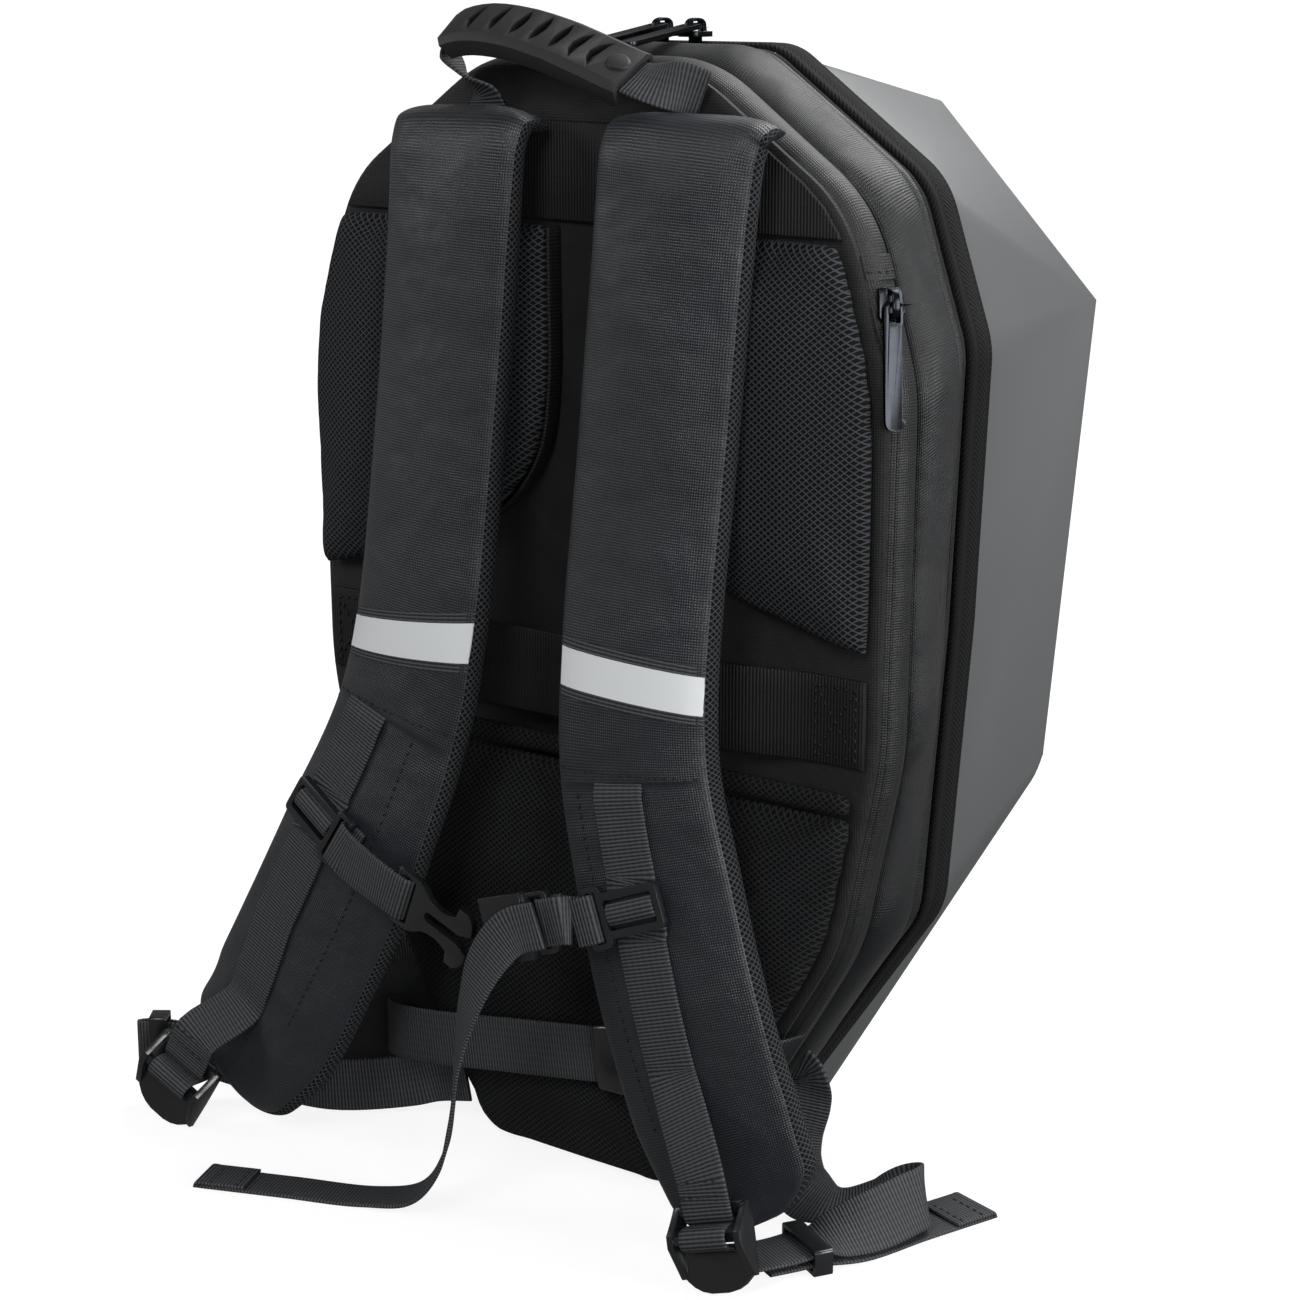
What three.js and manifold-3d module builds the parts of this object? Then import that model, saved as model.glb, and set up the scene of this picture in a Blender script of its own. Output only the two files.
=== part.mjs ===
// Backpack with a faceted hard shell, standing on its base with its straps spread on the floor.
// Millimetres, +Z up. X runs across the back and -Y faces the wearer.
// The origin is the centre of the flat underside of the gusset, on the floor.

import * as THREE from "three";
import { mergeVertices } from "three/addons/utils/BufferGeometryUtils.js";
import Module from "manifold-3d";

const wasm = await Module();
wasm.setup();

// Driving dimensions

const PANEL_Y = -40; // outer face of the back panel
const PANEL_THICK = 3;
const PANEL_INSET = 2.5; // panel edge inside the pack's outline
const PAD_INSET = 5.5;
const CLOTH = 2; // wall of the soft sides
const GAP = 0.4; // between neighbouring pieces

const SHELL_WALL = 2.5;
const SHELL_INSET = 4.2;
const SHELL_RIM_Y = 16;
const BINDING_WALL = 2.6;
const BINDING_FROM_Y = 14.5;
const BINDING_TO_Y = 31;

const YOKE_FROM_Z = 409;
const YOKE_TO_Z = 449;
const YOKE_THICK = 2;
const LUMBAR_TOP_Z = 183;
const HEM_TALL = 10;
const HEM_DEEP = 8;
const TROLLEY_Z = 221;
const TROLLEY_WIDE = 36;

const WEB_THICK = 1.6;
const RAIL_WIDE = 23;
const STERNUM_WIDE = 20;
const LOWER_WIDE = 25;
const HANDLE_WIDE = 19.5;
const STRAP_FACING = 2; // coated facing of the shoulder straps
const REFLECTOR_THICK = 0.8;
const REFLECTOR_TALL = 15.5;
const REFLECTOR_Z = 235;
const RAIL_TOP_Z = 196;
const RAIL_SEWN_Z = { left: 52, right: 80 }; // the rail leaves the strap below this height
const SLIDER_LIFT = 5.2; // middle of a rail slider above the strap's face

// The pack's outline seen from the wearer's side, right half from the top down: x, z and radius
// of each corner at the shell's rim and at the back, the facets that round it and the shell's own
// corner beyond it. The floor flattens what would reach below it.
const OUTLINE = [
  { front: [58, 479, 28], back: [56, 474, 60], facets: 3, shell: 0 },
  { front: [131, 428, 36], back: [131, 422, 60], facets: 3, shell: 1 },
  { front: [153, 364, 40], back: [152, 352, 90], facets: 2, shell: 1 },
  { front: [148, 250, 300], back: [150, 205, 150], facets: 1, shell: 1 },
  { front: [138, 128, 36], back: [133, 124, 90], facets: 2, shell: 2 },
  { front: [46, -4, 26], back: [55, -4, 26], facets: 3, shell: 3 },
];
const OUTLINE_BACK_Y = -19; // the outline changes between these depths
const OUTLINE_FRONT_Y = 11;

// Corners of the shell's front, right half from the top down.
const SHELL_FRONT = [
  { x: 61, y: 138, z: 452 },
  { x: 141, y: 138, z: 371 },
  { x: 122, y: 138, z: 163 },
  { x: 57, y: 57, z: 8 },
];

// Sections of the soft sides: depth, and how far they stand out from the outline.
const ROLL_SECTION = [
  { y: -36.6, out: -4 },
  { y: -34, out: -1.5 },
  { y: -29, out: 0 },
  { y: -24, out: 0.3 },
  { y: -20.5, out: -1.5 },
  { y: -18.8, out: -4.5 },
];
const GUSSET_SECTION = [
  { y: -18.4, out: -5 },
  { y: -15.5, out: -1 },
  { y: -8, out: 2.2 },
  { y: 1, out: 2.8 },
  { y: 6.5, out: 1.2 },
  { y: 10, out: -1 },
  { y: 11.2, out: -4.5 },
];
const MAIN_ZIP_SECTION = [
  { y: 11.6, out: -2.2 },
  { y: 14.1, out: -2.2 },
];
const BINDING_SECTION = [
  { y: BINDING_FROM_Y, out: -1 },
  { y: BINDING_FROM_Y + 1, out: 0 },
  { y: BINDING_TO_Y - 1, out: 0 },
  { y: BINDING_TO_Y, out: -1 },
];

// How a sewn pad closes over its foam: depth, and its outline's share there.
const PAD_SECTION = [
  { y: PANEL_Y - GAP, scale: 1 },
  { y: -45.5, scale: 1 },
  { y: -50, scale: 0.97 },
  { y: -52, scale: 0.9 },
  { y: -52.8, scale: 0.6 },
];

// Shoulder straps: points of the outer face from the yoke down, with width, thickness, the
// turn of the face about Z, and how far the sewn rail lies from the strap's middle.
const STRAP_TOP = [
  { left: -49, right: 67, y: -44.5, z: 452, wide: 76, thick: 8 },
  { left: -49, right: 67, y: -51, z: 453.5, wide: 76, thick: 9 },
  { left: -49, right: 66.5, y: -59, z: 451, wide: 75, thick: 11 },
  { left: -49, right: 66, y: -64.5, z: 442, wide: 74, thick: 12 },
  { left: -49.5, right: 65, y: -67, z: 425, wide: 73, thick: 13 },
  { left: -50, right: 64, y: -69.5, z: 400, wide: 72, thick: 14 },
  { left: -53.5, right: 61, y: -75, z: 330, wide: 72, thick: 15 },
  { left: -58.5, right: 59, y: -84.5, z: 240, wide: 72, thick: 15 },
];
const STRAP_RIGHT = [
  { x: 61, y: -87, z: 197, wide: 74, thick: 15, turn: 6, rail: -5 },
  { x: 73, y: -89, z: 150, wide: 77, thick: 15, turn: 6, rail: -6 },
  { x: 86, y: -91, z: 108, wide: 79, thick: 15, turn: 6, rail: -7 },
  { x: 102, y: -90, z: 62, wide: 80, thick: 15, turn: 6, rail: -8 },
  { x: 115, y: -88, z: 34, wide: 74, thick: 14, turn: 6, rail: -7 },
  { x: 123, y: -87, z: 20, wide: 56, thick: 11, turn: 6, rail: -6 },
];
const STRAP_LEFT = [
  { x: -67, y: -88, z: 199, wide: 74, thick: 15, turn: -2, rail: -13 },
  { x: -86, y: -95, z: 148, wide: 82, thick: 15, turn: -2, rail: -17 },
  { x: -113, y: -99, z: 94, wide: 84, thick: 15, turn: -2, rail: -17 },
  { x: -136, y: -102, z: 54, wide: 84, thick: 15, turn: -2, rail: -11 },
  { x: -152, y: -105, z: 33, wide: 74, thick: 14, turn: -2, rail: -7 },
  { x: -162, y: -106, z: 21, wide: 54, thick: 11, turn: -2, rail: -6 },
];

// Finishes

const finishes = {
  coated: new THREE.MeshStandardMaterial({ color: 0x2b2e33, roughness: 0.62 }),
  mesh: new THREE.MeshStandardMaterial({ color: 0x121315, roughness: 0.95 }),
  webbing: new THREE.MeshStandardMaterial({ color: 0x1b1c1e, roughness: 0.85 }),
  shell: new THREE.MeshStandardMaterial({ color: 0x5a5c5d, roughness: 0.5 }),
  plastic: new THREE.MeshStandardMaterial({ color: 0x17181a, roughness: 0.45 }),
  rubber: new THREE.MeshStandardMaterial({ color: 0x333436, roughness: 0.7 }),
  reflective: new THREE.MeshStandardMaterial({ color: 0xc9cdcf, roughness: 0.5 }),
  gunmetal: new THREE.MeshStandardMaterial({ color: 0x3c3f43, roughness: 0.25, metalness: 1 }),
};

const pack = new THREE.Group();

function addPiece(name, geometry, finish) {
  const piece = new THREE.Mesh(geometry, finishes[finish]);
  piece.name = name;
  pack.add(piece);
}

// Geometry helpers

const point = (x, y, z) => new THREE.Vector3(x, y, z);

// A closed surface from points and triangles, turned so that its faces point outwards.
function closedSurface(points, triangles) {
  let volume = 0;
  for (const [a, b, c] of triangles) {
    volume += points[a].dot(new THREE.Vector3().crossVectors(points[b], points[c]));
  }
  const turned = triangles.map(([a, b, c]) => (volume > 0 ? [a, b, c] : [a, c, b]));
  const geometry = new THREE.BufferGeometry().setFromPoints(points);
  geometry.setIndex(turned.flat());
  return geometry;
}

// A skin through loops with equal numbers of points. A ring joins its last loop to its first,
// and otherwise each end is closed around its middle.
function loft(loops, ring = false) {
  const count = loops[0].length;
  const points = loops.flat();
  const triangles = [];
  const spans = ring ? loops.length : loops.length - 1;
  for (let i = 0; i < spans; i++) {
    const near = i * count;
    const far = ((i + 1) % loops.length) * count;
    for (let k = 0; k < count; k++) {
      const next = (k + 1) % count;
      triangles.push([near + k, near + next, far + next], [near + k, far + next, far + k]);
    }
  }
  if (!ring) {
    const last = (loops.length - 1) * count;
    const startMiddle = points.push(middleOf(loops[0])) - 1;
    const endMiddle = points.push(middleOf(loops.at(-1))) - 1;
    for (let k = 0; k < count; k++) {
      const next = (k + 1) % count;
      triangles.push([startMiddle, next, k], [endMiddle, last + k, last + next]);
    }
  }
  return closedSurface(points, triangles);
}

function middleOf(loop) {
  const sum = loop.reduce((total, p) => total.add(p), point(0, 0, 0));
  return sum.divideScalar(loop.length);
}

// The pack's outline at depth y, moved outwards, with each corner an arc, clockwise.
function outlineLoop(y, out, floor = 0) {
  const share = (y - OUTLINE_BACK_Y) / (OUTLINE_FRONT_Y - OUTLINE_BACK_Y);
  const ahead = THREE.MathUtils.clamp(share, 0, 1);
  const right = OUTLINE.map(({ front, back, facets }) => {
    const [x, z, radius] = front.map((value, i) => THREE.MathUtils.lerp(back[i], value, ahead));
    return { x, z, radius, facets };
  });
  const left = right.toReversed().map((corner) => ({ ...corner, x: -corner.x }));
  const corners = [...right, ...left];
  return corners.flatMap((corner, i) => {
    const before = corners.at(i - 1);
    const after = corners[(i + 1) % corners.length];
    const normalIn = new THREE.Vector2(before.z - corner.z, corner.x - before.x).normalize();
    const normalOut = new THREE.Vector2(corner.z - after.z, after.x - corner.x).normalize();
    const reach = corner.radius / (1 + normalIn.dot(normalOut));
    const centre = normalIn.clone().add(normalOut).multiplyScalar(-reach);
    const turn = Math.atan2(normalOut.cross(normalIn), normalOut.dot(normalIn));
    return Array.from({ length: corner.facets + 1 }, (_, step) => {
      const spoke = normalIn.clone();
      spoke.rotateAround(new THREE.Vector2(), (-turn * step) / corner.facets);
      spoke.multiplyScalar(corner.radius + out).add(centre);
      return point(corner.x + spoke.x, y, Math.max(corner.z + spoke.y, floor));
    });
  });
}

// The right-hand point of the outline, moved outwards, at height z.
function outlineSide(y, z, out) {
  const loop = outlineLoop(y, out);
  const right = loop.slice(0, loop.length / 2);
  const lower = right.findIndex((p) => p.z < z);
  const share = (right[lower - 1].z - z) / (right[lower - 1].z - right[lower].z);
  return right[lower - 1].clone().lerp(right[lower], share);
}

// A soft wall that runs all the way round the pack.
function ringWall(section, wall) {
  const outside = section.map((row) => outlineLoop(row.y, row.out));
  const inside = section.toReversed().map((row) => outlineLoop(row.y, row.out - wall, wall));
  return loft([...outside, ...inside], true);
}

// The part of a convex loop between two heights.
function between(loop, low, high) {
  const keepSide = (points, height, sign) =>
    points.flatMap((a, i) => {
      const b = points[(i + 1) % points.length];
      const fromA = sign * (a.z - height);
      const fromB = sign * (b.z - height);
      const crossing = fromA * fromB < 0 ? [a.clone().lerp(b, fromA / (fromA - fromB))] : [];
      return fromA >= 0 ? [a, ...crossing] : crossing;
    });
  return keepSide(keepSide(loop, low, 1), high, -1);
}

// A padded form on the back panel: the loop shrinks as it rises over the foam.
function crownedPad(loop, section) {
  const middle = middleOf(loop);
  return loft(
    section.map((row) =>
      loop.map((p) => {
        const x = middle.x + (p.x - middle.x) * row.scale;
        const z = middle.z + (p.z - middle.z) * row.scale;
        return point(x, row.y, z);
      }),
    ),
  );
}

// A flat strap through rows that hold a point and the direction across the strap there. A row
// may have a width of its own.
function ribbon(rows, wide, thick) {
  const loops = rows.map((row, i) => {
    const before = rows[Math.max(i - 1, 0)].at;
    const after = rows[Math.min(i + 1, rows.length - 1)].at;
    const along = after.clone().sub(before).normalize();
    const across = row.across.clone().addScaledVector(along, -row.across.dot(along)).normalize();
    const face = new THREE.Vector3().crossVectors(along, across);
    const corner = (side, lift) =>
      row.at
        .clone()
        .addScaledVector(across, (side * (row.wide ?? wide)) / 2)
        .addScaledVector(face, (lift * thick) / 2);
    return [corner(-1, -1), corner(1, -1), corner(1, 1), corner(-1, 1)];
  });
  return loft(loops);
}

// Rows along a smooth curve through a table of points and directions across the strap.
function smoothRows(table, steps) {
  const path = new THREE.CatmullRomCurve3(table.map((row) => point(...row.at)));
  const lean = new THREE.CatmullRomCurve3(table.map((row) => point(...row.across)));
  return Array.from({ length: steps + 1 }, (_, i) => ({
    at: path.getPoint(i / steps),
    across: lean.getPoint(i / steps).normalize(),
  }));
}

// The same rows with more of them evenly between, so that a twist is spread over short facets.
function finerRows(rows, steps) {
  return rows.flatMap((row, i) => {
    const next = rows[i + 1] ?? row;
    return Array.from({ length: next === row ? 1 : steps }, (_, k) => ({
      at: row.at.clone().lerp(next.at, k / steps),
      across: row.across.clone().lerp(next.across, k / steps),
      wide: THREE.MathUtils.lerp(row.wide, next.wide, k / steps),
    }));
  });
}

// A place on the pack: its origin and its right, up and outward directions.
function placeAt(origin, right, up) {
  const u = right.clone().normalize();
  const v = up.clone().addScaledVector(u, -up.dot(u)).normalize();
  const w = new THREE.Vector3().crossVectors(u, v);
  return new THREE.Matrix4().makeBasis(u, v, w).setPosition(origin);
}

function turnedPlace(place, degrees) {
  return place.clone().multiply(new THREE.Matrix4().makeRotationZ(THREE.MathUtils.degToRad(degrees)));
}

const inPlace = (place, u, v, w) => point(u, v, w).applyMatrix4(place);
const rightOf = (place) => new THREE.Vector3().setFromMatrixColumn(place, 0);
const upOf = (place) => new THREE.Vector3().setFromMatrixColumn(place, 1);

// A plate cut to a shape, its thickness centred on the place's own plane.
function plate(shape, thick, lift = 0) {
  const geometry = new THREE.ExtrudeGeometry(shape, {
    depth: thick,
    bevelEnabled: false,
    curveSegments: 4,
  });
  return geometry.translate(0, 0, lift - thick / 2);
}

// Turns a plate on its side: its shape's x runs up the place and its y outwards.
const onSide = new THREE.Matrix4().makeBasis(point(0, 1, 0), point(0, 0, 1), point(1, 0, 0));

function roundedShape(left, bottom, right, top, radius, kind = THREE.Shape) {
  const shape = new kind();
  shape.moveTo(left + radius, bottom);
  shape.lineTo(right - radius, bottom);
  shape.quadraticCurveTo(right, bottom, right, bottom + radius);
  shape.lineTo(right, top - radius);
  shape.quadraticCurveTo(right, top, right - radius, top);
  shape.lineTo(left + radius, top);
  shape.quadraticCurveTo(left, top, left, top - radius);
  shape.lineTo(left, bottom + radius);
  shape.quadraticCurveTo(left, bottom, left + radius, bottom);
  return shape;
}

const roundedHole = (...sides) => roundedShape(...sides, THREE.Path);

function block(fromU, toU, fromV, toV, fromW, toW) {
  const box = new THREE.BoxGeometry(toU - fromU, toV - fromV, toW - fromW);
  return box.translate((fromU + toU) / 2, (fromV + toV) / 2, (fromW + toW) / 2);
}

function toSolid(geometry) {
  const bare = new THREE.BufferGeometry();
  bare.setAttribute("position", geometry.getAttribute("position"));
  bare.setIndex(geometry.index);
  const merged = mergeVertices(bare, 1e-4);
  const vertProperties = merged.getAttribute("position").array;
  const triVerts = new Uint32Array(merged.index.array);
  return new wasm.Manifold(new wasm.Mesh({ numProp: 3, vertProperties, triVerts }));
}

function toGeometry(solid) {
  const mesh = solid.getMesh();
  const geometry = new THREE.BufferGeometry();
  geometry.setAttribute("position", new THREE.BufferAttribute(mesh.vertProperties, 3));
  geometry.setIndex(new THREE.BufferAttribute(mesh.triVerts, 1));
  return geometry;
}

function joined(geometries) {
  return toGeometry(geometries.map(toSolid).reduce((whole, part) => whole.add(part)));
}

function cut(geometry, cutters) {
  const whole = toSolid(geometry);
  return toGeometry(cutters.map(toSolid).reduce((rest, cutter) => rest.subtract(cutter), whole));
}

// Hard shell: the rim runs straight under the binding, then flat facets reach the front corners.

function shellSkin(wall) {
  const shrink = (corner, sign) => point(sign * (corner.x - wall), corner.y - wall, corner.z);
  const right = SHELL_FRONT.map((corner) => shrink(corner, 1));
  const left = SHELL_FRONT.map((corner) => shrink(corner, -1)).toReversed();
  const front = [...right, ...left];
  const middleZ = (SHELL_FRONT[1].z + SHELL_FRONT[2].z) / 2;
  front.forEach((corner) => {
    corner.z += corner.z > middleZ ? -wall : wall;
  });
  const floor = BINDING_WALL + GAP + wall;
  const tuck = outlineLoop(SHELL_RIM_Y, -SHELL_INSET - wall, floor);
  const rim = outlineLoop(BINDING_TO_Y + GAP, -SHELL_INSET - wall, floor);
  return { tuck, rim, front };
}

function hardShell() {
  const outer = shellSkin(0);
  const inner = shellSkin(SHELL_WALL);
  const count = outer.rim.length;
  const corners = SHELL_FRONT.length;
  const rightCorners = OUTLINE.flatMap(({ shell, facets }) => Array(facets + 1).fill(shell));
  const leftCorners = rightCorners.toReversed().map((corner) => 2 * corners - 1 - corner);
  const cornerOf = [...rightCorners, ...leftCorners];
  const points = [];
  const triangles = [];
  const skins = [outer, inner].map((skin) => {
    const first = points.length;
    points.push(...skin.tuck, ...skin.rim, ...skin.front);
    return { tuck: first, rim: first + count, front: first + 2 * count };
  });
  skins.forEach((skin, layer) => {
    const add = (a, b, c) => triangles.push(layer === 0 ? [a, b, c] : [a, c, b]);
    for (let k = 0; k < count; k++) {
      const next = (k + 1) % count;
      const here = skin.front + cornerOf[k];
      const there = skin.front + cornerOf[next];
      add(skin.tuck + k, skin.tuck + next, skin.rim + next);
      add(skin.tuck + k, skin.rim + next, skin.rim + k);
      add(skin.rim + k, skin.rim + next, there);
      if (here !== there) {
        add(skin.rim + k, there, here);
      }
    }
    for (let k = 0; k < corners - 1; k++) {
      const mirrored = 2 * corners - 1 - k;
      add(skin.front + mirrored, skin.front + k, skin.front + k + 1);
      add(skin.front + mirrored, skin.front + k + 1, skin.front + mirrored - 1);
    }
  });
  for (let k = 0; k < count; k++) {
    const next = (k + 1) % count;
    const [a, b] = [skins[0].tuck + k, skins[0].tuck + next];
    const [c, d] = [skins[1].tuck + next, skins[1].tuck + k];
    triangles.push([a, c, b], [a, d, c]);
  }
  return closedSurface(points, triangles);
}

addPiece("hard_shell", hardShell(), "shell");
addPiece("shell_binding", ringWall(BINDING_SECTION, BINDING_WALL), "webbing");

// Soft sides and the main zip in the groove beside the binding

addPiece("gusset", ringWall(GUSSET_SECTION, CLOTH), "coated");
addPiece("zip_roll", ringWall(ROLL_SECTION, CLOTH), "coated");
addPiece("main_zip", ringWall(MAIN_ZIP_SECTION, CLOTH), "coated");

// Back panel, yoke and pads

const panelLoops = [
  outlineLoop(PANEL_Y, -PANEL_INSET - 1.5),
  outlineLoop(PANEL_Y + 1, -PANEL_INSET),
  outlineLoop(PANEL_Y + PANEL_THICK, -PANEL_INSET),
];
addPiece("back_panel", loft(panelLoops), "coated");

const padOutline = outlineLoop(PANEL_Y, -PAD_INSET);
const yokeLoop = between(padOutline, YOKE_FROM_Z, YOKE_TO_Z);
const yokeSection = [
  { y: PANEL_Y - GAP, scale: 1 },
  { y: PANEL_Y - GAP - YOKE_THICK, scale: 1 },
];
addPiece("yoke", crownedPad(yokeLoop, yokeSection), "webbing");

// Each upper pad has a straight inner edge that sweeps outwards to its lower corner, and its
// outer edge follows the pack's outline up to the yoke.
const PAD_TOP_Z = YOKE_FROM_Z - GAP;
const PAD_EDGE_Z = [249, 290, 330, 362, 386, PAD_TOP_Z];

function upperPadLoop(side) {
  const shape = new THREE.Shape();
  shape.moveTo(12, PAD_TOP_Z);
  shape.lineTo(12, 345);
  shape.bezierCurveTo(13, 300, 40, 283, 84, 264);
  const inner = shape.getPoints(6);
  const outer = PAD_EDGE_Z.map((z) => outlineSide(PANEL_Y, z, -PAD_INSET));
  return [
    ...inner.map((p) => point(side * p.x, 0, p.y)),
    ...outer.map((p) => point(side * p.x, 0, p.z)),
  ];
}

for (const [name, side] of Object.entries({ left: -1, right: 1 })) {
  addPiece(`back_pad_${name}`, crownedPad(upperPadLoop(side), PAD_SECTION), "mesh");
}

const lumbarLoop = between(padOutline, 0, LUMBAR_TOP_Z);
addPiece("lumbar_pad", crownedPad(lumbarLoop, PAD_SECTION), "mesh");

const hemRows = [-139, -133, 133, 139].map((x) => ({
  at: point(x, PANEL_Y - GAP - HEM_DEEP / 2, LUMBAR_TOP_Z + GAP + HEM_TALL / 2),
  across: point(0, 0, 1),
}));
addPiece("lumbar_hem", ribbon(hemRows, HEM_TALL, HEM_DEEP), "mesh");

// The luggage band is sewn down at its ends and stands clear of the panel between them.
const TROLLEY_ROWS = [
  { x: 143, y: -41.4 },
  { x: 116, y: -41.6 },
  { x: 82, y: -48.5 },
  { x: 0, y: -51 },
];
const trolleyHalf = TROLLEY_ROWS.map((row) => ({
  at: point(row.x, row.y, TROLLEY_Z),
  across: point(0, 0, 1),
}));
const trolleyOther = trolleyHalf.slice(0, -1).toReversed().map((row) => ({
  at: point(-row.at.x, row.at.y, row.at.z),
  across: row.across,
}));
addPiece("trolley_band", ribbon([...trolleyHalf, ...trolleyOther], TROLLEY_WIDE, WEB_THICK), "webbing");

// Shoulder straps

class Strap {
  constructor(side, lowerRows) {
    const { turn, rail } = lowerRows[0];
    const topRows = STRAP_TOP.map((row) => ({ ...row, x: row[side], turn, rail }));
    this.rows = [...topRows, ...lowerRows];
    this.path = new THREE.CatmullRomCurve3(this.rows.map((row) => point(row.x, row.y, row.z)));
  }

  // A column of the table at share t of the strap.
  column(name, t) {
    const place = t * (this.rows.length - 1);
    const row = Math.min(Math.floor(place), this.rows.length - 2);
    return THREE.MathUtils.lerp(this.rows[row][name], this.rows[row + 1][name], place - row);
  }

  // The share of the strap at which its hanging part passes height z.
  shareAt(z) {
    let [high, low] = [0.3, 1];
    for (let i = 0; i < 30; i++) {
      const half = (high + low) / 2;
      if (this.path.getPoint(half).z > z) {
        high = half;
      } else {
        low = half;
      }
    }
    return low;
  }

  // The face's own frame at share t: origin, direction across, direction up and outward.
  placeAt(t) {
    const turn = THREE.MathUtils.degToRad(this.column("turn", t));
    const up = this.path.getTangent(t).negate();
    const level = point(Math.cos(turn), Math.sin(turn), 0);
    const across = level.addScaledVector(up, -level.dot(up));
    return placeAt(this.path.getPoint(t), across, up);
  }

  shares(from, to, steps) {
    return Array.from({ length: steps + 1 }, (_, i) => THREE.MathUtils.lerp(from, to, i / steps));
  }

  // Rows of a ribbon that lies on the face: aside of the middle, lifted off the face.
  rowsOn(from, to, steps, aside, lift) {
    return this.shares(from, to, steps).map((t) => {
      const place = this.placeAt(t);
      return { at: inPlace(place, aside(t), 0, lift(t)), across: rightOf(place) };
    });
  }
}

const STRAP_STEPS = 24;
const STRAP_EDGE = 4; // rounding of the padded edges

function strapPad(strap) {
  return loft(
    strap.shares(0, 1, STRAP_STEPS).map((t) => {
      const half = strap.column("wide", t) / 2;
      const top = -STRAP_FACING - GAP;
      const bottom = -strap.column("thick", t);
      const bevel = Math.min(STRAP_EDGE, (top - bottom) / 2.5);
      const corners = [
        [half - bevel, top],
        [half, top - bevel],
        [half, bottom + bevel],
        [half - bevel, bottom],
        [bevel - half, bottom],
        [-half, bottom + bevel],
        [-half, top - bevel],
        [bevel - half, top],
      ];
      const place = strap.placeAt(t);
      return corners.map(([u, w]) => inPlace(place, u, 0, w));
    }),
  );
}

function strapFace(strap) {
  return loft(
    strap.shares(0, 1, STRAP_STEPS).map((t) => {
      const half = strap.column("wide", t) / 2 - STRAP_EDGE + 1;
      const place = strap.placeAt(t);
      const corners = [
        [half, -STRAP_FACING],
        [half - 1, 0],
        [1 - half, 0],
        [-half, -STRAP_FACING],
      ];
      return corners.map(([u, w]) => inPlace(place, u, 0, w));
    }),
  );
}

const straps = {
  left: new Strap("left", STRAP_LEFT),
  right: new Strap("right", STRAP_RIGHT),
};
const ADJUSTERS = {
  left: { at: [-172, -122, 19.4], right: [0.87, 0.1, -0.47], up: [0.45, 0.25, 0.86] },
  right: { at: [120, -106, 18.9], right: [0.93, 0.1, 0.3], up: [-0.28, 0.22, 0.93] },
};
const SLIDER_Z = { left: 147, right: 146 };
const SLIDER_TILT = { left: -8, right: 5 };

const RAIL_LIFT = 1.5; // middle of the sewn rail above the strap's face

for (const [name, strap] of Object.entries(straps)) {
  addPiece(`strap_pad_${name}`, strapPad(strap), "mesh");
  addPiece(`strap_face_${name}`, strapFace(strap), "coated");

  const from = strap.shareAt(REFLECTOR_Z + REFLECTOR_TALL / 2);
  const to = strap.shareAt(REFLECTOR_Z - REFLECTOR_TALL / 2);
  const onFace = () => GAP + REFLECTOR_THICK / 2;
  const stripRows = strap.rowsOn(from, to, 3, () => 0, onFace);
  const stripWide = strap.column("wide", from) - 2 * STRAP_EDGE;
  addPiece(`reflector_${name}`, ribbon(stripRows, stripWide, REFLECTOR_THICK), "reflective");
}

const adjusterPlaces = Object.fromEntries(
  Object.entries(ADJUSTERS).map(([name, row]) => [
    name,
    placeAt(point(...row.at), point(...row.right), point(...row.up)),
  ]),
);

const TOP_BAR_V = 14; // an adjuster's top bar above its middle

// Strap adjusters: two curved cheeks, a top bar, a front bar and a broad thumb tongue.

const ADJUSTER_HALF = 17.5;
const CHEEK = 3;

function adjuster() {
  const cheek = new THREE.Shape();
  cheek.moveTo(TOP_BAR_V + 3, -2.2);
  cheek.lineTo(TOP_BAR_V + 3, 1);
  cheek.quadraticCurveTo(TOP_BAR_V - 2, 4, 6, 9);
  cheek.lineTo(1, 9);
  cheek.quadraticCurveTo(-6, 5, -12, 1.5);
  cheek.lineTo(-12, -1.5);
  cheek.lineTo(0, -2.2);
  const cheeks = [-ADJUSTER_HALF, ADJUSTER_HALF - CHEEK].map((from) => {
    return plate(cheek, CHEEK, CHEEK / 2).applyMatrix4(onSide).translate(from, 0, 0);
  });
  const tongue = new THREE.Shape();
  tongue.moveTo(-ADJUSTER_HALF, -2);
  tongue.lineTo(-ADJUSTER_HALF, -9);
  tongue.quadraticCurveTo(-13, -17, -4, -18);
  tongue.lineTo(4, -18);
  tongue.quadraticCurveTo(13, -17, ADJUSTER_HALF, -9);
  tongue.lineTo(ADJUSTER_HALF, -2);
  const span = ADJUSTER_HALF - CHEEK / 2;
  const topBar = block(-span, span, TOP_BAR_V - 1.5, TOP_BAR_V + 2.5, -1.5, 1.5);
  const frontBar = block(-span, span, 2, 5.5, 5, 8);
  return joined([...cheeks, plate(tongue, 2.6), topBar, frontBar]);
}

for (const [name, place] of Object.entries(adjusterPlaces)) {
  addPiece(`strap_adjuster_${name}`, adjuster().applyMatrix4(place), "plastic");
}

// Rail sliders: a window that the rail bulges through, and a loop for the sternum strap.

function railSlider() {
  const window = roundedShape(-14.5, -9.5, 14.5, 9.5, 2.5);
  window.holes.push(roundedHole(-11.8, -6.3, 11.8, 6.3, 1.5));
  const loop = roundedShape(12, -12.8, 21.8, 12.8, 2.5);
  loop.holes.push(roundedHole(14.4, -10.6, 19.2, 10.6, 1));
  return joined([plate(window, 3.2), plate(loop, 3.2)]);
}

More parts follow.
